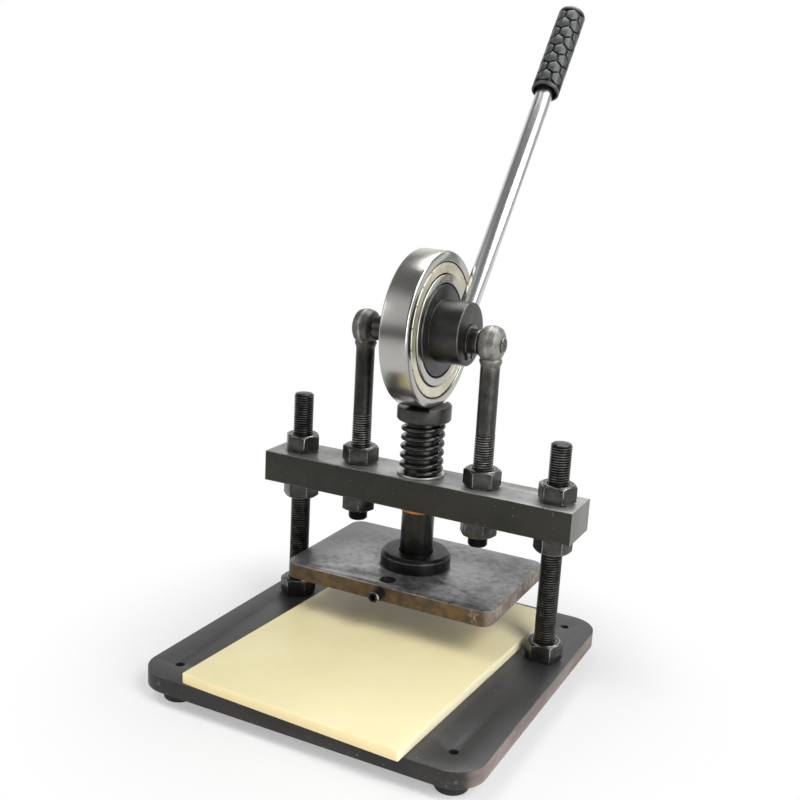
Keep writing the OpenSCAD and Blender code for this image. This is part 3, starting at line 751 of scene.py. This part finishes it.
# %% [markdown]
# ## Eye bolts
# The eye bolts are forged: a ball with two flats, a flared neck and a shank, with the flash line of the
# dies still on the ball. Hard shapes are joined and remeshed into one skin, and a smooth modifier melts
# the joints, as hot steel would flow. The threaded end is the same thread as the columns.


# %% Forged eye
def flipped(half):
    """The other half of an outline that is the same above and below its middle."""
    return [(radius, -height) for radius, height in reversed(half)]


bolt_low, bolt_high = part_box("eye_bolt_right")
EYE_R = bolt_high.z - shaft_axis.z
EYE_HALF_W = 9.0 * MM
EYE_FACE_R = 7.8 * MM
EYE_BORE_R = 6.1 * MM
SHANK_R = 7.7 * MM
NECK_R = 9.0 * MM
THREAD_TOP = beam_high.z + 43 * MM
shank_from = THREAD_TOP - 1.5 * MM

ball_r = EYE_R - 0.1 * MM
half_outline = [(0, EYE_HALF_W), (EYE_FACE_R, EYE_HALF_W),
                (EYE_FACE_R + 2.6 * MM, EYE_HALF_W - 1.1 * MM)]
for h in (6.2, 4.5, 3.0, 1.5):
    half_outline.append((math.sqrt(ball_r ** 2 - (h * MM) ** 2), h * MM))
ball = turn_shape(half_outline + [(ball_r, 0)] + flipped(half_outline), steps=96, closed=False)
lying = Matrix.Rotation(math.pi / 2, 4, "Y")
move(ball, lying)
neck_top = -11.2 * MM
neck_foot = shank_from - shaft_axis.z
neck = turn_shape([(0, neck_foot), (SHANK_R, neck_foot), (SHANK_R, neck_top - 6 * MM),
                   (NECK_R, neck_top - 2.5 * MM), (NECK_R, neck_top - 1 * MM),
                   (NECK_R - 1.2 * MM, neck_top), (0, neck_top)], steps=64, closed=False)
flash = new_shape(bpy.ops.mesh.primitive_torus_add, major_radius=EYE_R - 0.45 * MM, minor_radius=0.6 * MM,
                  major_segments=72, rotation=ALONG_X)
eye = join(flash, neck, ball)
modify(eye, "REMESH", mode="VOXEL", voxel_size=0.5 * MM)
modify(eye, "SMOOTH", factor=0.5, iterations=4)
bore = turn_shape([(0, -20 * MM), (EYE_BORE_R, -20 * MM), (EYE_BORE_R, 20 * MM), (0, 20 * MM)],
                  steps=64, closed=False)
carve(eye, move(bore, lying))
mark_worn(eye, lambda face: abs(face.center.yz.length - EYE_R) < 0.7 * MM and abs(face.center.x) < 1.2 * MM)
print("forged eye", len(eye.data.polygons), "faces")

# %% Forged finish
forged_black = Finish("forged_black")
across, _, height = forged_black.parts(forged_black.place)
right = across.between(-20 * MM, 20 * MM)
cast = height.between(shaft_axis.z - 24 * MM, shaft_axis.z - 8 * MM)
clouds = forged_black.noise(0.006, 5.0, 0.65)
grain = forged_black.noise(0.0011, 3.0, 0.6)
# painted shade: the stud below the beam is painted near black and shows no wear
shaded_below_beam = height.between(beam_low.z - 1 * MM, beam_low.z - 3 * MM)
worn = forged_black.attribute(WEAR) * forged_black.noise(0.006, 3.0, 0.7).between(0.3, 0.6)
worn = worn * (1 - shaded_below_beam)
rough_spots = (clouds * 0.6 + grain * 0.4).between(0.35, 0.65)
# painted light: the right eye bolt, ball and shank, is painted lighter and the left one darker, as lit from
# the right
shaded_left_tone = forged_black.mix(rough_spots, tone(74, 73, 71), tone(110, 108, 105))
lit_right_tone = forged_black.mix(rough_spots, tone(100, 99, 96), tone(148, 146, 142))
cast_tone = forged_black.mix(right, shaded_left_tone, lit_right_tone)
shaded_left_shank = forged_black.mix(clouds.between(0.3, 0.7), tone(42, 42, 40), tone(58, 57, 55))
lit_right_shank = forged_black.mix(clouds.between(0.3, 0.7), tone(54, 54, 52), tone(74, 73, 70))
shank_tone = forged_black.mix(right, shaded_left_shank, lit_right_shank)
skin = forged_black.mix(cast, shank_tone, cast_tone)
skin = forged_black.mix(shaded_below_beam, skin, tone(26, 26, 25))
forged_black.set(
    Base_Color=forged_black.mix(worn * 0.6, skin, BARE_STEEL),
    Roughness=0.36 + 0.08 * cast + 0.12 * (clouds - 0.5),
    Metallic=0.8 - 0.2 * cast + 0.2 * worn,
)
forged_black.bump(grain * (0.15 + 0.85 * cast) + clouds * cast * 0.6, 0.00016)
print("the eyes are rough forged, their shanks smooth")

# %% Two eye bolts
stud = mark_worn(threaded_rod(STUD_R, THREAD_PITCH, THREAD_TOP - bolt_low.z, THREAD_CHAMFER), on_crest)
move(stud, Matrix.Translation((0, 0, bolt_low.z - shaft_axis.z)))
bolt = join(stud, eye)
for node in ("eye_bolt_left", "eye_bolt_right"):
    piece = move(copy_of(bolt), Matrix.Translation((middle(node).x, shaft_axis.y, shaft_axis.z)))
    hand_in(piece, node + "_forged", "frame", forged_black, [node], smooth=THREAD_SMOOTH)
throw_away(bolt)

# %% [markdown]
# ## Turned parts
# Shafts, collars and rings come off a lathe, and so do they here: an outline of radius and height is spun
# round Z, bevelled, and laid on its axis. Turned finishes carry fine rings. The sum of radius and height
# works as the ring count on flat faces and on cylinders alike.

# %% Turned finishes and a lathe helper
UPRIGHT = (0, 0, 0)
GAP_SHADE = tone(34, 33, 30)


def turned_steel(name, centre, axis, dark, light, rough, metal=0.9, wear=0.7, ring=0.0005, blotch=0.012,
                 depth=0.000012, gaps=()):
    """Turned or ground steel: fine rings round an axis, soft blotches, bare metal on worn edges, and painted
    shade in gaps.
    """
    steel = Finish(name)
    x, y, z = steel.parts(steel.local(centre, axis))
    radius = x.away(y)
    rings = steel.lines(radius + z, ring)
    clouds = steel.noise(blotch, 5.0, 0.6)
    worn = steel.attribute(WEAR) * steel.noise(0.007, 4.0, 0.7).between(0.3, 0.6) * wear
    colour = steel.mix((rings * 0.4 + clouds * 0.6).between(0.3, 0.7), dark, light)
    colour = steel.mix(worn, colour, BARE_STEEL)
    # painted shade: ring surfaces between the given radii, in the gaps, are painted dark
    for inside, outside in gaps:
        shade = radius.between((inside - 0.1) * MM, (inside + 0.1) * MM)
        shade = shade * radius.between((outside + 0.1) * MM, (outside - 0.1) * MM)
        colour = steel.mix(shade, colour, GAP_SHADE)
    steel.set(
        Base_Color=colour,
        Roughness=rough + 0.12 * (clouds - 0.5) + 0.08 * (rings - 0.5),
        Metallic=metal + (1 - metal) * worn,
    )
    steel.bump(rings, depth)
    return steel


def turn_in_mm(profile, steps=128, closed=False):
    """Spins (radius, height) points round Z, in millimetres."""
    return turn_shape([(radius * MM, height * MM) for radius, height in profile], steps, closed)


def turned_part(profile, centre, axis, bevel, segments=2, steps=128, closed=False):
    """Spins a profile in millimetres, bevels it and lays it on its axis."""
    shape = bevel_edges(turn_in_mm(profile, steps, closed), bevel, segments)
    turn = Matrix.Rotation(axis[1], 4, "Y")
    return move(shape, Matrix.Translation(centre) @ turn)


def arc(radius, height, size, start, end, steps=5):
    """Points of a rounded corner round a centre, from one angle in degrees to another."""
    angles = [math.radians(start + (end - start) * i / steps) for i in range(steps + 1)]
    return [(radius + size * math.cos(a), height + size * math.sin(a)) for a in angles]


def ends_of(node):
    """Lowest and highest point of a node, in millimetres."""
    low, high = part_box(node)
    return low.z / MM, high.z / MM


cap_from, cap_to = ends_of("ram_cap")
flange_from, flange_to = ends_of("ram_flange")
ram_foot = Vector((ram_axis.x, ram_axis.y, 0))
print("cap", round(cap_from, 1), round(cap_to, 1), "flange", round(flange_from, 1), round(flange_to, 1))

# %% Ram cap
RAM_R = 13.5
FIT_R = RAM_R + 0.05
CAP_R = 22.0
CAP_WALL = 2.4
LOW_ROUND = 2.4
TOP_ROUND = 1.8
WALL_X = 12.5
WALL_ROOT = 4
cap_face = cap_to - CAP_WALL
_, shaft_top = ends_of("ram_shaft")
ram_black = turned_steel("ram_black", ram_foot, UPRIGHT, tone(40, 40, 39), tone(58, 57, 55),
                         rough=0.3, metal=0.85, wear=0.9)
cap_black = turned_steel("cap_black", ram_foot, UPRIGHT, tone(54, 54, 53), tone(76, 75, 73),
                         rough=0.38, metal=0.8, wear=0.9)


def rounded_top(height):
    """From the middle of the cap out to its side, over a rounded edge."""
    return [(0, height)] + arc(CAP_R - TOP_ROUND, height - TOP_ROUND, TOP_ROUND, 90, 0)


lower_corner = arc(CAP_R - LOW_ROUND, cap_from + LOW_ROUND, LOW_ROUND, 0, -90)
bored = [(FIT_R, cap_from), (FIT_R, shaft_top + 0.1), (0, shaft_top + 0.1)]
cap = turn_in_mm(rounded_top(cap_face) + lower_corner + bored)
wall_foot = cap_face - WALL_ROOT
wall = turn_in_mm(rounded_top(cap_to) + [(CAP_R, wall_foot), (0, wall_foot)])
edit(wall)
bpy.ops.mesh.bisect(plane_co=(WALL_X * MM, 0, 0), plane_no=(1, 0, 0), clear_inner=True, use_fill=True)
leave_edit()
carve(cap, wall, "UNION")
bevel_edges(cap, 0.35 * MM)
hand_in(move(cap, Matrix.Translation(ram_foot)), "ram_cap_turned", "ram", cap_black, ["ram_cap"])

# %% Ram shaft and flange
FLANGE_R = 29.0
FLANGE_EDGE = 2.8
flange_black = turned_steel("flange_black", ram_foot, UPRIGHT, tone(22, 22, 21), tone(34, 33, 32),
                            rough=0.36, metal=0.75, wear=0.15)
shaft = turned_part(
    [(0, flange_from), (RAM_R, flange_from), (RAM_R, shaft_top), (0, shaft_top)], ram_foot, UPRIGHT, 0.3 * MM)
hand_in(shaft, "ram_shaft_turned", "ram", ram_black, ["ram_shaft"])
flange = turned_part(
    [(FIT_R, flange_from), (FLANGE_R, flange_from), (FLANGE_R, flange_to - FLANGE_EDGE),
     (FLANGE_R - FLANGE_EDGE, flange_to), (RAM_R + 1.4, flange_to), (FIT_R, flange_to - 1)],
    ram_foot, UPRIGHT, 0.6 * MM, segments=3, closed=True)
hand_in(flange, "ram_flange_turned", "ram", flange_black, ["ram_flange"])

# %% Bushing and spring washer
BUSH_R = 14.75
BUSH_BORE_R = RAM_R + 0.06
WASHER_R = 19.25
WASHER_BORE_R = RAM_R + 0.6
bush_from, bush_to = ends_of("ram_bushing")
washer_from, washer_to = ends_of("spring_washer")
bronze = turned_steel("bronze", ram_foot, UPRIGHT, tone(150, 88, 52), tone(206, 140, 96),
                      rough=0.34, metal=1.0, wear=0.2)
bushing = turned_part(
    [(BUSH_BORE_R, bush_from + 0.8), (RAM_R + 0.8, bush_from), (BUSH_R - 0.5, bush_from),
     (BUSH_R, bush_from + 0.5), (BUSH_R, bush_to), (BUSH_BORE_R, bush_to)],
    ram_foot, UPRIGHT, 0.25 * MM, closed=True)
hand_in(bushing, "ram_bushing_turned", "frame", bronze, ["ram_bushing"])
washer_zinc = turned_steel("washer_zinc", ram_foot, UPRIGHT, tone(136, 134, 130), tone(196, 194, 190),
                           rough=0.3, metal=1.0)
washer = turned_part(
    [(WASHER_BORE_R, washer_from), (WASHER_R, washer_from), (WASHER_R, washer_to),
     (WASHER_BORE_R, washer_to)],
    ram_foot, UPRIGHT, 0.45 * MM, segments=3, closed=True)
hand_in(washer, "spring_washer_turned", "frame", washer_zinc, ["spring_washer"])

# %% [markdown]
# ## Return spring
# The spring is one wire wound into a helix with closed ends. A line is drawn through points on the helix,
# turned into a curve, given a round bevel of the wire's thickness, and made a mesh again. It stands on
# the washer.

# %% Return spring
WIRE_R = 2.1 * MM
COIL_R = 15.9 * MM
CURLS = 5.75
WIRE_START = math.radians(-77)
END_CURLS = 0.75
END_PITCH = 4.8 * MM
STEPS_PER_CURL = 36
spring_from = washer_to * MM + WIRE_R
spring_rise = cap_from * MM - washer_to * MM - 2 * WIRE_R


def spring_height(curl):
    """Height of the wire after this many curls: closed at both ends and open between them."""
    end_rise = END_CURLS * END_PITCH
    if curl < END_CURLS:
        return END_PITCH * curl
    if curl > CURLS - END_CURLS:
        return spring_rise - END_PITCH * (CURLS - curl)
    return end_rise + (spring_rise - 2 * end_rise) * (curl - END_CURLS) / (CURLS - 2 * END_CURLS)


wire_line = []
for i in range(int(CURLS * STEPS_PER_CURL) + 1):
    curl = i / STEPS_PER_CURL
    angle = WIRE_START + 2 * math.pi * curl
    wire_line.append((ram_foot.x + COIL_R * math.cos(angle), ram_foot.y + COIL_R * math.sin(angle),
                      spring_from + spring_height(curl)))
spring = draw_line(wire_line)
bpy.ops.object.convert(target="CURVE")
spring.data.bevel_depth = WIRE_R
spring.data.bevel_resolution = 5
spring.data.use_fill_caps = True
bpy.ops.object.convert(target="MESH")
spring = bpy.context.object
edit(spring)
bpy.ops.mesh.remove_doubles(threshold=MERGE_WITHIN)
bpy.ops.mesh.normals_make_consistent(inside=False)
leave_edit()
spring_black = black_steel("spring_black", tone(44, 44, 44), tone(70, 69, 68),
                           cloud=0.02, rough=0.18, metal=0.9, wear=0.5, dent=0.00001)
hand_in(spring, "return_spring_wound", "frame", spring_black, ["return_spring"],
        smooth=math.radians(60))
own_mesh(spring)

# %% [markdown]
# ## Ball bearing
# The big bearing is ground bright. Each face has the outer ring, a groove with painted shade, the pressed
# zinc shield, and the inner ring. All are turned from their real outlines, so the chamfers catch the light as
# they do in the photograph. The balls and their cage are hidden behind the shields and keep their CAD shape.

# %% Bearing rings
HALF_W = 12.0
RING_R = 62.5
CORNER = 2.4
SEAT_R = 54
OUTER_LAND_R = 52.8
OUTER_TRACK_R = 57.5
BORE_R = 36.5
INNER_LAND_R = 44
INNER_TRACK_R = 40.6
# painted shade: radii in millimetres of the gaps round the bore and the shields
SHADED_GAPS = [(36, 38), (44.1, 54.6)]
ring_steel = turned_steel("ring_steel", hub_axis, ALONG_X, tone(170, 168, 164), tone(186, 184, 180),
                          rough=0.2, metal=1.0, wear=0.6, ring=0.0006, blotch=0.04, depth=0.000018,
                          gaps=SHADED_GAPS)
outer_half = arc(RING_R - CORNER, HALF_W - CORNER, CORNER, 0, 90, 6) + [
    (SEAT_R + 1.2, HALF_W), (SEAT_R, HALF_W - 1.0), (SEAT_R, HALF_W - 1.7), (OUTER_LAND_R, HALF_W - 1.7),
    (OUTER_LAND_R, 7), (OUTER_TRACK_R, 3)]
outer_ring = turned_part(outer_half + flipped(outer_half), hub_axis, ALONG_X, 0.3 * MM,
                         steps=192, closed=True)
hand_in(outer_ring, "bearing_outer_turned", "bearing_outer", ring_steel,
        ["bearing_outer_ring"])
inner_half = [(BORE_R, 1.6 - HALF_W), (BORE_R + 1.6, -HALF_W), (INNER_LAND_R - 0.5, -HALF_W),
              (INNER_LAND_R, 0.5 - HALF_W), (INNER_LAND_R, -7), (INNER_TRACK_R, -3)]
inner_ring = turned_part(inner_half + flipped(inner_half), hub_axis, ALONG_X, 0.25 * MM,
                         steps=160, closed=True)
hand_in(inner_ring, "bearing_inner_turned", "cam", ring_steel, ["bearing_inner_ring"])

# %% Shields
SHIELD_IN = 44.9
SHIELD_OUT = 53.4
CRIMPS = 20
zinc = Finish("shield_zinc")
x, y, _ = zinc.parts(zinc.local(hub_axis, ALONG_X))
radius = x.away(y)
turn_share = x.angle(y) * (CRIMPS / (2 * math.pi))
crimp = turn_share.math("FRACT", turn_share + CRIMPS)
crimp = crimp.between(0.45, 0.47) * crimp.between(0.55, 0.53)
crimp = crimp * radius.between((SHIELD_OUT - 1.3) * MM, (SHIELD_OUT - 1.1) * MM)
rings = zinc.lines(radius, 0.0004)
clouds = zinc.noise(0.015, 5.0, 0.6)
plating = zinc.mix(clouds.between(0.3, 0.7), tone(196, 193, 168), tone(216, 213, 192))
zinc.set(
    Base_Color=zinc.mix(crimp, plating, tone(96, 92, 82)),
    Roughness=0.34 + 0.12 * (clouds - 0.5) + 0.06 * (rings - 0.5),
    Metallic=0.75 - 0.5 * crimp,
)
zinc.bump(rings - crimp * 2, 0.00002)
pressed = [(SHIELD_OUT - 0.6, 10.3), (SHIELD_OUT, 10.5), (SHIELD_OUT, 11.2), (SHIELD_OUT - 0.4, 11.6),
           (SHIELD_OUT - 1.0, 11.6), (SHIELD_OUT - 1.4, 11.2), (SHIELD_IN + 0.9, 11.2), (SHIELD_IN, 10.6),
           (SHIELD_IN, 10.2), (SHIELD_IN + 1.1, 10.6), (SHIELD_OUT - 1.6, 10.6)]
for node, way in (("bearing_shield_left", -1), ("bearing_shield_right", 1)):
    profile = [(radius, way * height) for radius, height in pressed]
    shield = turned_part(profile, hub_axis, ALONG_X, 0.12 * MM, steps=160, closed=True)
    hand_in(shield, node + "_pressed", "bearing_outer", zinc, [node])

# %% [markdown]
# ## Hub, shaft and retaining rings
# The eccentric hub and the shaft are turned and blackened, and the hub's lever hole is drilled at an
# angle, so bevelled copies of the CAD parts are the safest. The spring-steel retaining rings are stamped
# and bright at the lugs.

# %% Hub, shaft and rings
hub_black = turned_steel("hub_black", hub_axis, ALONG_X, tone(50, 50, 49), tone(70, 69, 67),
                         rough=0.34, metal=0.85, wear=0.9)
hand_in_soft("eccentric_hub", 0.5 * MM, 3, "cam", hub_black)
shaft_grey = turned_steel("shaft_grey", shaft_axis, ALONG_X, tone(48, 48, 47), tone(76, 75, 72),
                          rough=0.36, metal=0.85, wear=0.8)
hand_in_soft("cam_shaft", 0.3 * MM, 2, "frame", shaft_grey)
ring_grey = turned_steel("ring_grey", shaft_axis, ALONG_X, tone(84, 83, 80), tone(130, 128, 124),
                         rough=0.3, metal=0.95, wear=1.0)
hand_in_soft("retaining_rings", 0.15 * MM, 2, "frame", ring_grey)

# %% [markdown]
# ## Lever and grip
# The lever is a chromed bar. Chrome shows the studio, so its own colour is nearly plain, with faint
# polishing lines along it and a few dull smudges. The grip is a rubber sleeve with a honeycomb of raised
# tiles. One six-sided tile is modelled flat, copied into staggered rows, and the whole sheet is bent
# round into a tube with the Simple Deform modifier.

# %% Lever
LEVER_LEAN = math.radians(38.2)
lever_foot = Vector((middle("lever_rod").x, hub_axis.y, hub_axis.z))
LEVER = Matrix.Translation(lever_foot) @ Matrix.Rotation(-LEVER_LEAN, 4, "X")
GRIP_FROM = 240.0
GRIP_LENGTH = 89.0
LEVER_R = 7.5
ROD_FROM = 12.2
ROD_TO = 323.8
chrome = Finish("lever_chrome")
x, y, _ = chrome.parts(chrome.local(lever_foot, (-LEVER_LEAN, 0, 0)))
smudge = chrome.noise(0.03, 5.0, 0.65).between(0.45, 0.75)
polish = chrome.lines(x.angle(y) * (LEVER_R * MM), 0.0006)
chrome.set(
    Base_Color=chrome.mix(smudge, tone(214, 214, 214), tone(196, 196, 195)),
    Roughness=0.2 + 0.05 * smudge + 0.03 * polish,
    Metallic=1.0,
)
chrome.bump(polish, 0.000001)
rod_outline = [(0, ROD_FROM), (LEVER_R, ROD_FROM), (LEVER_R, ROD_TO), (0, ROD_TO)]
lever = bevel_edges(turn_in_mm(rod_outline, steps=96), 0.6 * MM)
hand_in(move(lever, LEVER), "lever_rod_chrome", "cam", chrome, ["lever_rod"])

# %% Grip sleeve
CORE_R = 10.2
TILE_R = 12.0
LIP_R = 9.9
GRIP_ROUND = 4.0
shoulder = GRIP_LENGTH - GRIP_ROUND
bore_r = LEVER_R + 0.06
hollow = [(0, shoulder - 0.9), (bore_r, shoulder - 0.9), (bore_r, 7), (LIP_R, 6.4), (LIP_R, 0.4)]
collar = [(LIP_R + 0.3, 0), (TILE_R - 0.4, 0), (TILE_R, 0.5), (TILE_R, 2.6), (CORE_R, 3.4)]
top_cap = [(CORE_R, shoulder - 1.4), (TILE_R - 0.15, shoulder - 0.8)]
top_cap = top_cap + arc(TILE_R - 0.15 - GRIP_ROUND, shoulder, GRIP_ROUND, 0, 90, 6) + [(0, GRIP_LENGTH)]
sleeve = turn_in_mm(hollow + collar + top_cap, steps=96)
print("sleeve", len(sleeve.data.polygons), "faces")

# %% One tile
COLUMNS = 6
ROWS = 8
ROW_PITCH = 9.75 * MM
FIRST_ROW = 9.6 * MM
GROOVE = 1.9 * MM
TILE_BENDS = 8
TILE_STRETCH = 1.09
column_pitch = 2 * math.pi * CORE_R * MM / COLUMNS
tile_half_w = (column_pitch - GROOVE) / 2
bpy.ops.object.select_all(action="DESELECT")
bpy.ops.mesh.primitive_circle_add(vertices=6, radius=tile_half_w / math.cos(math.pi / 6), fill_type="NGON",
                                  rotation=(math.pi / 2, 0, 0))
tile = bpy.context.object
tile.scale = (1, TILE_STRETCH, 1)
bpy.ops.object.transform_apply(location=True, rotation=True, scale=True)
edit(tile)
raise_by = (0, -(TILE_R - CORE_R) * MM, 0)
bpy.ops.mesh.extrude_region_move(TRANSFORM_OT_translate={"value": raise_by})
bpy.ops.mesh.bevel(offset=0.35 * MM, segments=2, affect="EDGES")
for i in range(1, TILE_BENDS):
    cut = (2 * i / TILE_BENDS - 1) * tile_half_w
    bpy.ops.mesh.select_all(action="SELECT")
    bpy.ops.mesh.bisect(plane_co=(cut, 0, 0), plane_no=(1, 0, 0))
leave_edit()
print("tile", len(tile.data.polygons), "faces")

# %% Honeycomb grip
FRONT_ANGLE = math.radians(26.5)
tiles = []
for row in range(ROWS):
    for column in range(COLUMNS):
        along = (column + 0.5 * ((row + 1) % 2)) * column_pitch + FRONT_ANGLE * CORE_R * MM
        tiles.append(move(copy_of(tile), Matrix.Translation((along, 0, FIRST_ROW + row * ROW_PITCH))))
comb = join(*tiles)
spread = max(v.co.x for v in comb.data.vertices) - min(v.co.x for v in comb.data.vertices)
modify(comb, "SIMPLE_DEFORM", deform_method="BEND", deform_axis="Z", angle=spread / (CORE_R * MM))
move(comb, Matrix.Translation((0, -CORE_R * MM, 0)))
throw_away(tile)
grip_rubber = rubber("grip_rubber", tone(52, 54, 55), tone(76, 78, 79), 0.34,
                     (lever_foot, (-LEVER_LEAN, 0, 0)), ((CORE_R + 0.2) * MM, (TILE_R - 0.5) * MM))
grip = move(join(comb, sleeve), LEVER @ Matrix.Translation((0, 0, GRIP_FROM * MM)))
hand_in(grip, "lever_grip_honeycomb", "cam", grip_rubber, ["lever_grip"],
        smooth=math.radians(40))

# %% [markdown]
# ## Clamp screw and plate screws
# The die is held by a small socket screw in the plate's front edge. It is a threaded rod with a
# six-sided socket cut into its front end. The plate screws under the plate are countersunk and only
# need softened edges.

# %% Screws
CLAMP_R = 4.95 * MM
CLAMP_PITCH = 1.5 * MM
CLAMP_CHAMFER = 0.8 * MM
SOCKET_R = 2.9 * MM
SOCKET_DEPTH = 4.5 * MM
WORN_FROM_R = 3.2 * MM
WORN_DEPTH = 0.85 * MM
clamp_low, clamp_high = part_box("die_clamp_screw")
clamp_length = clamp_high.y - clamp_low.y
clamp = threaded_rod(CLAMP_R, CLAMP_PITCH, clamp_length, CLAMP_CHAMFER, steps=32)
worn_from = clamp_length - WORN_DEPTH
mark_worn(clamp, lambda face: face.center.z > worn_from and face.center.xy.length > WORN_FROM_R)
socket = new_shape(bpy.ops.mesh.primitive_cylinder_add, vertices=6, radius=SOCKET_R, depth=2 * SOCKET_DEPTH,
                   location=(0, 0, clamp_length))
carve(clamp, socket)
clamp_foot = Matrix.Translation((clamp_axis.x, clamp_high.y, clamp_axis.z))
clamp = move(clamp, clamp_foot @ Matrix.Rotation(math.pi / 2, 4, "X"))
hand_in(clamp, "die_clamp_screw_thread", "clamp_screw", screw_black, ["die_clamp_screw"])
hand_in_soft("plate_screws", 0.25 * MM, 2, "ram", screw_black)

# %% Balls and cage
cage_steel = turned_steel("cage_steel", hub_axis, ALONG_X, tone(120, 116, 108), tone(160, 156, 148),
                          rough=0.4, metal=0.9)
for node, finish in (("bearing_balls", ring_steel), ("bearing_cage", cage_steel)):
    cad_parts[node].data.materials.clear()
    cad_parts[node].data.materials.append(finish.material)
    print(node, "keeps its CAD shape")

# %% [markdown]
# ## Floor and light
# This is a product photograph on white. The paper floor keeps a soft shadow near the machine and fades to
# plain white further out. Polished metal only looks like metal when it has something to show, so its
# reflections see a white backdrop, a dim room behind the camera, a window at the front left, and a floor
# that is white only from the front edge of the table on.

# %% Floor
FADE_FROM = 0.15
FADE_TO = 0.3
LEAST_WHITE = 0.4
TABLE_EDGE = (-0.7, -0.4)
floor = new_shape(bpy.ops.mesh.primitive_plane_add, size=12, location=(0, 0, 0))
floor.name = "studio_floor"
floor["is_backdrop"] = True
paper = Finish("white_paper")
paper.set(Base_Color=tone(248, 248, 248), Roughness=0.9)
across, along, _ = paper.parts(paper.place)
reach = across.away(along)
seen, mirrored, through = paper.rays()
shown = seen.largest(mirrored * along.between(*TABLE_EDGE)).largest(through)
fade = (LEAST_WHITE + (1 - LEAST_WHITE) * reach.between(FADE_FROM, FADE_TO)) * shown
matt = Mask(paper, paper.shader.outputs[0])
glow = paper.add("ShaderNodeEmission", None, {"Color": (1, 1, 1, 1), "Strength": 1.0})
cover = paper.add("ShaderNodeMixShader", None, {0: fade, 1: matt, 2: glow})
paper.feed(paper.tree.nodes["Material Output"].inputs["Surface"], cover)
floor.data.materials.append(paper.material)
print("floor fades to white between", FADE_FROM, "and", FADE_TO, "m")

# %% World
ROOM_LEVEL = 0.23
WINDOW_LEVEL = 0.55
FILL_LEVEL = 0.07
BACK_FILL = 0.15
DIM_SIDE = 0.35
world = bpy.data.worlds.new("studio_white")
bpy.context.scene.world = world
world.use_nodes = True
sky = Nodes(world.node_tree)
to_right, to_back, up = sky.parts(sky.add("ShaderNodeTexCoord", output="Generated"))
backdrop = to_back.between(-0.25, 0.35) * up.between(0.72, 0.42)
window = up.between(0.05, 0.25) * up.between(0.85, 0.6)
window = window * to_back.between(-0.2, -0.5) * to_right.between(0.1, -0.2)
seen, mirrored, through = sky.rays()
white_part = backdrop * (DIM_SIDE + (1 - DIM_SIDE) * to_right.between(0.5, 0.15))
shown = (ROOM_LEVEL + (1 - ROOM_LEVEL) * white_part + WINDOW_LEVEL * window) * mirrored
level = (FILL_LEVEL + BACK_FILL * backdrop).largest(shown).largest(seen).largest(through)
background = sky.tree.nodes["Background"]
sky.feed(background.inputs["Color"], (1, 1, 1, 1))
sky.feed(background.inputs["Strength"], level)
print("room level", ROOM_LEVEL)

# %% [markdown]
# ## Lamps
# All lamps are large and soft. The key lamp and the back lamp stand where the metal should show a bright
# band, and light reflections only. The two front lamps light only what is matt, so that the shadow of the
# press plate falls back and to the left on the board. The two side lamps do both.


# %% Lamps
def soft_lamp(name, place, size, power, on_matt=True, on_metal=True):
    """A square soft lamp; it can leave out matt surfaces, or reflections in shiny ones."""
    bpy.ops.object.select_all(action="DESELECT")
    bpy.ops.object.light_add(type="AREA", location=place)
    lamp = bpy.context.object
    lamp.name = name
    lamp.data.size = size
    lamp.data.energy = power
    lamp.visible_diffuse = on_matt
    lamp.visible_glossy = on_metal
    aim = Vector(LIT_POINT) - Vector(place)
    lamp.rotation_euler = aim.to_track_quat("-Z", "Y").to_euler()
    print(name, power, "W")


LIT_POINT = (0, 0.03, 0.15)
soft_lamp("key_lamp", (1.15, 0.18, 1.2), 1.2, 18, on_matt=False)
soft_lamp("back_lamp", (0.0, 0.7, 1.5), 1.1, 19, on_matt=False)
soft_lamp("front_lamp_right", (1.2, -0.8, 1.4), 0.7, 24, on_metal=False)
soft_lamp("front_lamp_left", (-0.5, -0.7, 1.9), 0.8, 12, on_metal=False)
soft_lamp("right_lamp", (1.2, -0.65, 0.4), 0.85, 9)
soft_lamp("left_lamp", (-1.3, -0.9, 0.8), 0.8, 3.5)

# %% Sizes
low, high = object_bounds()
print("visual box in mm", [round(s / MM) for s in high - low])
